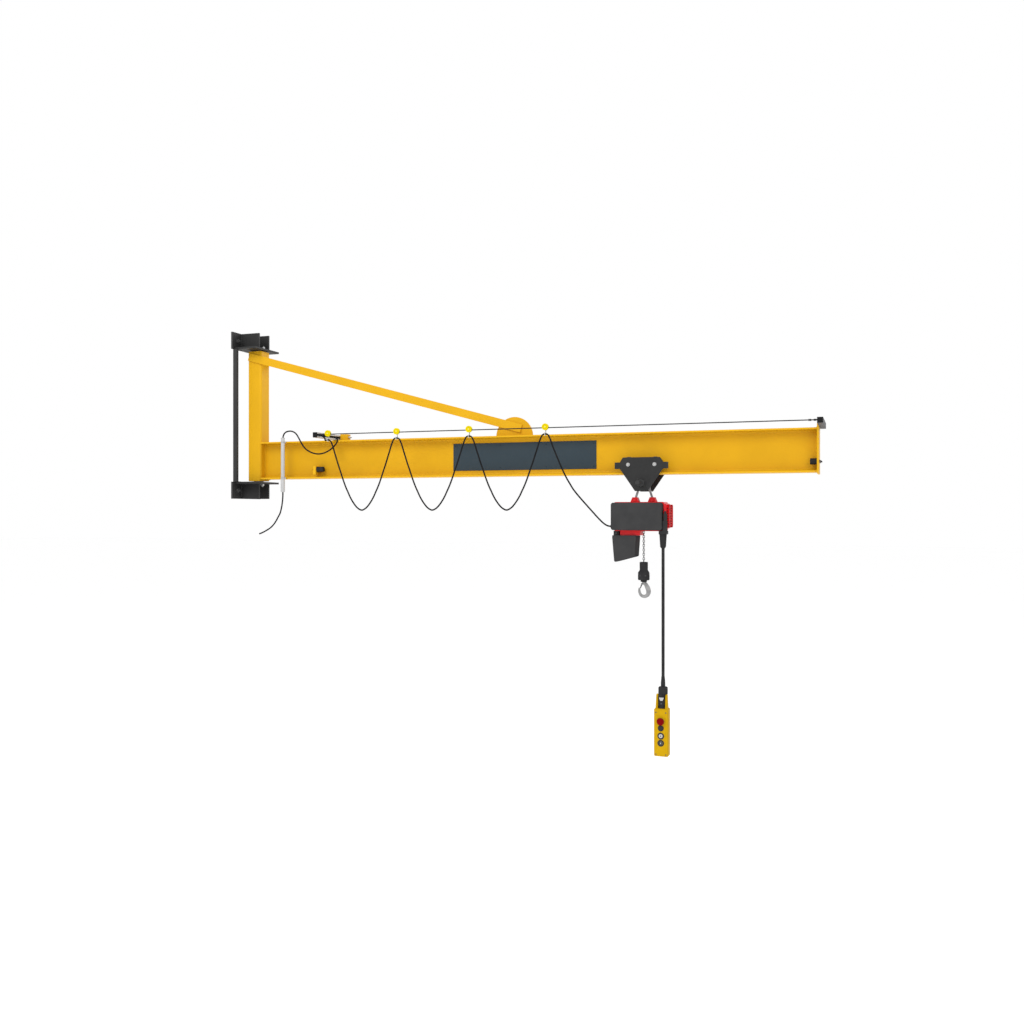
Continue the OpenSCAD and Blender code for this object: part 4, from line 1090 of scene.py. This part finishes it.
# Lip round the mouth of the chain box, and the pins that hang it on the hoist
def makeContainerTrim(s):
    x0, z1, y = s["x0"], s["z1"], s["y"]
    ring = roundedBox(s["width"] - 3.4, 2 * y - 3.4, 4, 6)
    path = np.column_stack([ring[:, 0] + x0 + s["width"] / 2, ring[:, 1],
                            np.full(len(ring), z1 - 1.6)])
    makePiece("container_lip", [tubeLoop(path, 1.7)], "trolley", "blackPlastic")
    pins = [placed(turned([(4.6, 0), (4.6, 1.6), (3.8, 2.4), (1.8, 2.4), (1.6, 1.2)], 24),
                   (x0 + 18, way * y / 2, z1 + 12), (0, way, 0)) for way in (-1, 1)]
    makePiece("container_pins", pins, "trolley", "darkSteel")


# Plug housing on the motor's side, and under it the bend relief of the control cable, whose radius
# goes evenly from wide to narrow with shallow grooves
def makeConnector(s):
    parts = []
    for w, d, z0, z1, x, y in s["steps"]:
        points, faces = stacked(roundedBox(w, d, 4), [(z0, 1), (z0 + 1, 0), (z1 - 2, 0), (z1, 2)])
        parts.append((points + [x, y, 0], faces))
    top, bottom, r0, r1, bore = s["top"], s["bottom"], s["wide"], s["narrow"], s["bore"]
    end = bottom + 8
    rings = [(bore, top + 1), (r0 - 1, top + 1), (r0, top)]
    n = s["rings"]
    for i in range(n):
        a, b = i / n, (i + 1) / n
        r, nextR = r0 + (r1 - r0) * a, r0 + (r1 - r0) * b
        z, below = top + (end - top) * a, top + (end - top) * b
        rings += [(r, z - 0.8), (nextR, below + 2.0), (nextR - 1.0, below + 1.4),
                  (nextR - 1.0, below + 0.4)]
    rings += [(r1, end - 0.2), (s["mouth"], bottom + 0.6), (s["mouth"] - 0.4, bottom),
              (bore, bottom)]
    points, faces = turned(rings, 44, closed=True)
    parts.append((points + [s["x"], s["y"], 0], faces))
    makePiece("connector_housing", parts, "trolley", "blackRubber", ["cable_connector"])
    screw = turned([(3, 0), (3, 1.2), (2.4, 1.8), (1.2, 1.8), (1, 0.6)], 20)
    screws = [placed(screw, (s["x"] + 25, y, -258.5), (1, 0, 0)) for y in (-80, -50)]
    makePiece("connector_screws", screws, "trolley", "darkSteel")


makeCovers(coverSettings)
makeCoverTrim(coverSettings)
makeFan(fanSettings)
makeContainerTrim(boxSettings)
makeConnector(sleeveSettings)
print("hoist made")


chainSettings = {"x": 2666.5, "top": -247, "pitch": 12.7, "wire": 3.4, "width": 13.6, "links": 14,
                 "drop": 1300, "stored": 106, "storeTop": -112, "storeEnd": -247}
blockSettings = {"x": 2666.5, "screw": 30.6, "screwZ": -505, "seam": (6, 16),
                 "profile": [(7.6, -440), (7.6, -428), (9.2, -426.4), (11, -426), (19.4, -426),
                             (22.2, -427), (23.5, -430), (23.5, -472), (24.4, -475.4),
                             (29.6, -481.6), (31.3, -484.6), (32.9, -520), (33, -524),
                             (32.6, -527.4), (31, -529), (19, -531), (18, -532), (18, -539),
                             (17, -540), (8.1, -540), (8.1, -522)]}
hookSettings = {"x": 2666.5, "z": -540,
                "line": [(0, 2), (5, -7), (11, -13), (17, -23), (21.5, -32), (25.5, -42),
                         (27.5, -53), (27, -63), (21.5, -74), (11.5, -81), (0, -83), (-10, -80),
                         (-18, -73.5), (-23, -64), (-25.5, -54), (-26, -45), (-25, -38),
                         (-23.5, -34)],
                "half": [6.5, 9, 11, 12.2, 13, 13.4, 13.2, 12.4, 11, 10, 9.4, 8.8, 8.2, 7.6, 6.8,
                         6.2, 5.6, 4.6],
                "pin": (-11, -11)}


# Links: the wire's centre goes round two half circles joined by straights; odd links are turned
def chainLinks(s, numbers, steps=20, sides=10):
    r = (s["width"] - s["wire"]) / 2
    half = (s["pitch"] + s["wire"]) / 2 - r
    a = (np.arange(steps) + 0.5) * 2 * np.pi / steps
    out = np.stack([np.cos(a), 0 * a, np.sin(a)], 1)
    centre = r * out + np.stack([0 * a, 0 * a, half * np.sign(np.sin(a))], 1)
    b = np.linspace(0, 2 * np.pi, sides, endpoint=False)[:, None]
    skin = centre[:, None] + s["wire"] / 2 * (out[:, None] * np.cos(b)
                                              + np.array([0, 1, 0]) * np.sin(b))
    link = skin.reshape(-1, 3)
    first = s["top"] - s["pitch"] / 2 - s["wire"]
    shapes = []
    for i in numbers:
        t = math.radians(0 if i % 2 == 0 else 90)
        spun = np.stack([link[:, 0] * math.cos(t) - link[:, 1] * math.sin(t),
                         link[:, 0] * math.sin(t) + link[:, 1] * math.cos(t), link[:, 2]], 1)
        shapes.append((spun + [s["x"], 0, first - (s["pitch"] - 0.1) * i],
                       gridFaces(steps, sides, closed=True)))
    return shapes


# The stored chain is laid so that it has its true length once the hook is down: a point at height h
# ends at h - drop w(h), where w is the blend's weight, and a table turns that round
def makeChain(s):
    makePiece("chain_fall", chainLinks(s, range(s["links"])), "hook_block", "chainSteel",
              ["load_chain"], smooth=80)
    h = np.linspace(s["storeEnd"] - 40, s["storeTop"] + 20, 6001)
    t = np.clip((s["storeTop"] - h) / (s["storeTop"] - s["storeEnd"]), 0, 1)
    lowered = h - s["drop"] * t * t * (3 - 2 * t)
    shapes = []
    for points, faces in chainLinks(s, range(-s["stored"], 0), 16, 8):
        points[:, 2] = np.interp(points[:, 2] - s["drop"], lowered, h)
        shapes.append((points, faces))
    stored = makePiece("chain_stored", shapes, None, "chainSteel", smooth=80)
    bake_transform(stored)


# Stepped shell, the screws that hold its halves together, and the seam where they meet
def makeHookBlock(s):
    points, faces = turned(s["profile"][::-1], 56)
    makePiece("block_shell", [(points + [s["x"], 0, 0], faces)], "hook_block", "blackRubber",
              ["hook_block"])
    screw = turned([(4.4, -2), (4.4, 1.0), (3.8, 1.6), (2.2, 1.6), (2, -1)], 24)
    screws = []
    for t in np.radians([-120, -60, 60, 120]):
        way = (math.cos(t), math.sin(t), 0)
        screws.append(placed(screw, (s["x"] + s["screw"] * way[0], s["screw"] * way[1],
                                     s["screwZ"]), way))
    makePiece("block_screws", screws, "hook_block", "darkSteel")
    first, last = s["seam"]
    seam = [tube(smoothPath([(s["x"] + way * (r + 0.1), 0, z) for r, z in s["profile"][first:last]],
                            3), 0.5, 8) for way in (-1, 1)]
    makePiece("block_seam", seam, "hook_block", "blackPlastic")


# The hook's skin is c + h (u wide(a) + v deep(a)) round its line c, where h is half its thickness;
# it is a rounded wedge, broader on the inside of the bowl than on its back
def makeHook(s):
    line = smoothPath([(x, 0, z) for x, z in s["line"]], 1.6, 2)
    walked = np.concatenate([[0], np.cumsum(np.linalg.norm(np.diff(line, axis=0), axis=1))])
    route = np.array([(x, z) for x, z in s["line"]], float)
    stations = np.concatenate([[0], np.cumsum(np.linalg.norm(np.diff(route, axis=0), axis=1))])
    half = np.interp(walked / walked[-1], stations / stations[-1], s["half"])
    # the tip closes along a quarter circle
    tip = walked[-1] - walked
    half = np.where(tip < 2.6, np.sqrt(np.clip(1 - (1 - tip / 2.6)**2, 0.02, 1)) * half, half)
    _, u, v = pathFrames(line)
    a = np.linspace(0, 2 * np.pi, 28, endpoint=False)[:, None]
    wide = 0.85 * np.sign(np.cos(a)) * np.abs(np.cos(a))**0.85 * (1 + 0.10 * np.sin(a))
    deep = np.sign(np.sin(a)) * np.abs(np.sin(a))**0.9
    rings = line[:, None] + half[:, None, None] * (u[:, None] * wide + v[:, None] * deep)
    x, z = s["x"], s["z"]
    parts = [(points + [x, 0, z + lift], faces) for (points, faces), lift in (
        (lofted(rings), 0), (turned([(8, -7), (8, 19.5)], 36), 0),
        (turned([(7, -12), (9.4, -9), (10.4, -5), (10.4, -2.4), (8, -0.6)], 36), 0),
        (boltHead(22, 7), 18.8))]
    # two ears hold the latch's pin
    pinX, pinZ = s["pin"]
    a = np.radians(np.linspace(-90, 90, 11))
    outline = np.vstack([np.stack([pinX - 4.2 * np.cos(a), pinZ - 4.2 * np.sin(a)], 1)[::-1],
                         [(-2, -15.4), (0, -11), (-2, -6.8)]])
    points, faces = stacked(outline[::-1], [(4.8, 0.3), (5.1, 0), (6.7, 0), (7, 0.3)])
    for way in (-1, 1):
        parts.append((np.stack([points[:, 0] + x, way * points[:, 2], points[:, 1] + z], 1), faces))
    parts.append(placed(turned([(1.5, -7.4), (1.5, 7.4)], 20), (x + pinX, 0, z + pinZ), (0, 1, 0)))
    cap = turned([(2.8, 0), (2.6, 0.9), (1.6, 1.4)], 20)
    for way in (-1, 1):
        parts.append(placed(cap, (x + pinX, way * 7, z + pinZ), (0, way, 0)))
    makePiece("forged_hook", parts, "load_hook", "forgedSteel", ["load_hook"],
              smooth=50)


makeChain(chainSettings)
makeHookBlock(blockSettings)
makeHook(hookSettings)
print("chain and hook made")


pendantSettings = {"x": 2783, "y": -60, "turn": -1, "top": -1242, "bottom": -1508, "width": 81,
                   "depth": 64, "corner": 9, "ears": (20.3, 34, 31), "earTop": -1163, "neck": 20,
                   "cable": 2789, "bore": 8.8, "relief": (-1121, -1066), "cup": (-1162, -1121),
                   "cupRadius": 26, "ribs": 15, "field": (49, 196, -1377), "clampZ": -1189,
                   "screwZ": -1214,
                   # height of each button, and its ring's hole and outer radius
                   "buttons": {"stop_button": (-1310, 12, 17), "black_button": (-1349, 15.2, 16.6),
                               "white_button": (-1392, 12, 18.7),
                               "grey_button": (-1432, 12, 18.7)}}


# From the pendant's own axes to the frame: a turn about z, then its place
def atPendant(shape):
    s = pendantSettings
    t = math.radians(s["turn"])
    points, faces = shape
    x, y = points[:, 0], points[:, 1]
    return np.stack([s["x"] + x * math.cos(t) - y * math.sin(t),
                     s["y"] + x * math.sin(t) + y * math.cos(t), points[:, 2]], 1), faces


# A shape that stands on the pendant's front: its z becomes the way out of the face
def onFace(shape, x, z, out=0.0):
    points, faces = shape
    face = -pendantSettings["depth"] / 2 - out
    standing = np.stack([points[:, 0] + x, face - points[:, 2], points[:, 1] + z], 1)
    return atPendant((standing, faces))


# Case with round edges, whose two ears hold the gland: they get thinner and narrower towards their
# tops, with a half width of 20 - 10 t^0.8 at the share t of their height
def makeCase(s):
    w, d, z0, z1 = s["width"], s["depth"], s["bottom"], s["top"]
    outline = roundedBox(w, d, s["corner"], 8)
    levels = [(z0, 5), (z0 + 1.4, 2.4), (z0 + 4, 0.6), (z0 + 7, 0), (z1 - 7, 0), (z1 - 4, 0.6),
              (z1 - 1.4, 2.4), (z1, 5)]
    parts = [atPendant(stacked(outline, levels))]
    inner, outer, top = s["ears"]
    for way in (-1, 1):
        rings = []
        for t in np.linspace(0, 1, 12):
            edge = outer + (top - outer) * t
            half = 20 - 10 * t**0.8 - (3 if t > 0.99 else 0)
            ring = roundedBox(edge - inner, 2 * half, 3, 4)
            rings.append(np.column_stack([way * (ring[:, 0] + (edge + inner) / 2), ring[:, 1],
                                          np.full(len(ring), z1 - 2 + (s["earTop"] - z1 + 2) * t)]))
        parts.append(atPendant(lofted(np.array(rings))))
    makePiece("pendant_case", parts, "trolley", "pendantYellow", ["pendant_body"])
    # lid on the case, and a raised field round the buttons
    wide, high, middle = s["field"]
    lid = stacked(roundedBox(w - 8, z1 - z0 - 12, 6, 6), [(-1, 0), (0.2, 0), (0.8, 0.7)])
    field = stacked(roundedBox(wide, high, 5, 6), [(0, 0), (1.3, 0), (1.8, 0.5)])
    makePiece("pendant_lid", [onFace(lid, 0, (z0 + z1) / 2, -0.4), onFace(field, 0, middle, -0.4)],
              "trolley", "pendantYellow", smooth=30)
    bezels = []
    for z, hole, r in s["buttons"].values():
        ring = turned([(hole, -1), (r, -1), (r, 3.0), (r - 1.0, 4.2), (hole + 0.8, 4.2),
                       (hole, 3.2)], 44, closed=True)
        bezels.append(onFace(ring, 0, z))
    makePiece("button_bezels", bezels, "trolley", "blackPlastic")
    screw = turned([(3.8, -1), (3.8, 0.7), (3.2, 0.9), (2.6, 0.4), (1.2, 0.4), (1, -0.4)], 24)
    screws = [onFace(screw, x, z, 0.3) for x in (-28, 28) for z in (z0 + 12, z1 - 20)]
    makePiece("pendant_screws", screws, "trolley", "darkSteel")


# Bend relief of the cable, cup of radius r + 0.5 cos(n a) for its n ribs, neck between the ears,
# and the neck's plain clamp plate with its screw
def makeGland(s):
    x, y, bore, z1 = s["cable"], s["y"], s["bore"], s["top"]
    low, high = s["relief"]
    neck = [(bore, high + 1), (9.7, high + 1.2), (10.4, high)]
    for k in range(9):  # shallow grooves
        share, z = k / 8, high - 1 - (high - low - 2) * (k + 0.5) / 9
        r = 10.2 + 2.55 * min(1, share * 1.5)
        neck += [(r, z + 2.4), (r - 0.7, z + 1.4), (r - 0.7, z + 0.4), (r, z - 0.6)]
    neck += [(12.7, low), (bore, low)]
    points, faces = turned(neck, 40, closed=True)
    gland = [(points + [x, y, 0], faces)]
    a = np.linspace(0, 2 * np.pi, 120, endpoint=False)
    edge = s["cupRadius"] + 0.5 * np.cos(s["ribs"] * a)
    low, high = s["cup"]
    points, faces = stacked(np.stack([np.cos(a), np.sin(a)], 1) * edge[:, None],
                            [(low, 2), (low + 1.6, 0.3), (low + 3, 0), (high - 7, 0), (high - 5, 1),
                             (high - 2, 1.6), (high, 5)])
    gland.append((points + [x, y, 0], faces))
    r = s["neck"]
    points, faces = turned([(r - 2, z1 - 1), (r, z1 + 1), (r, z1 + 12), (r - 1.2, z1 + 13),
                            (r - 1.2, z1 + 17), (r, z1 + 18), (r, low - 16), (r - 1.2, low - 15),
                            (r - 1.2, low - 11), (r, low - 10), (r, low), (r - 4, low + 1)], 48)
    gland.append((points + [s["x"], y, 0], faces))
    makePiece("pendant_neck", gland, "trolley", "blackRubber", ["pendant_gland"])
    plate = np.array([(-6, -9), (6, -9), (13, 5), (13, 9), (-13, 9), (-13, 5)], float)
    clamp = stacked(plate, [(0, 0), (1.6, 0), (2.2, 0.6)])
    makePiece("neck_clamp", [onFace(clamp, 0, s["clampZ"], r - s["depth"] / 2 - 1.4)],
              "trolley", "whitePlastic", bevel=0.3)
    screw = turned([(4, -1), (4, 1.4), (3.4, 2), (1.4, 2), (1.2, 0.8)], 24)
    makePiece("neck_screw", [onFace(screw, 0, s["screwZ"], r - s["depth"] / 2)], "trolley",
              "darkSteel")


# Arrow in its own plane, pointing up or down
def arrow(size, way):
    outline = np.array([(-0.16, -0.5), (0.16, -0.5), (0.16, 0.0), (0.42, 0.0), (0, 0.5),
                        (-0.42, 0.0), (-0.16, 0.0)]) * size * [1, way]
    return outline if way > 0 else outline[::-1]


# Stem, undercut and domed head of the stop button, over a skirt that clears its ring when pressed;
# the other caps are turned as well, two of them with a raised arrow
def makeButtons(s):
    z = {name: button[0] for name, button in s["buttons"].items()}
    mushroom = turned([(10.8, -14), (10.8, 8), (12, 10), (19.4, 12.4), (20.4, 14.2), (20.4, 16),
                       (19.4, 17.6), (16, 19.1), (10, 19.8), (0.4, 20)], 56)
    makePiece("stop_cap", [onFace(mushroom, 0, z["stop_button"])], "stop_button", "redPlastic",
              ["stop_button"])
    skirt = turned([(10.9, 8.5), (11.6, 8.5), (19.6, 10.6), (21, 12.6), (21, 14.4), (20.3, 14.8),
                    (19.4, 12.3), (12, 9.9), (10.9, 9.2)], 56, closed=True)
    makePiece("stop_skirt", [onFace(skirt, 0, z["stop_button"])], "stop_button", "blackPlastic")
    ridge = []
    for t in np.radians([90, 210, 330]):  # three raised arcs show which way it turns
        b = np.linspace(-0.42, 0.42, 12)
        path = np.stack([13 * np.cos(t + b), 13 * np.sin(t + b), 19.2 + 0 * b], 1)
        arc = tube(path, np.linspace(0.4, 1.0, 12), 8, start=(0, 0, 1))
        ridge.append(onFace(arc, 0, z["stop_button"]))
    makePiece("stop_marks", ridge, "stop_button", "redPlastic")
    dome = turned([(14.8, -14), (14.8, 5), (14, 6.8), (11, 7.8), (6, 8), (0.4, 7.7)], 48)
    makePiece("black_cap", [onFace(dome, 0, z["black_button"])], "black_button", "blackPlastic",
              ["black_button"])
    flat = turned([(10.8, -14), (10.8, 5.6), (10.2, 6.6), (9.0, 7), (8.2, 6.6), (0.4, 6.4)], 44)
    for colour, way, mark in (("white", 1, "black"), ("grey", -1, "white")):
        name = colour + "_button"
        makePiece(colour + "_cap", [onFace(flat, 0, z[name])], name, colour + "Plastic",
                  [name])
        raised = stacked(arrow(9, way), [(6.2, 0), (6.75, 0), (6.9, 0.1)])
        makePiece(colour + "_cap_mark", [onFace(raised, 0, z[name])], name, mark + "Plastic")


makeCase(pendantSettings)
makeGland(pendantSettings)
makeButtons(pendantSettings)
print("pendant made")
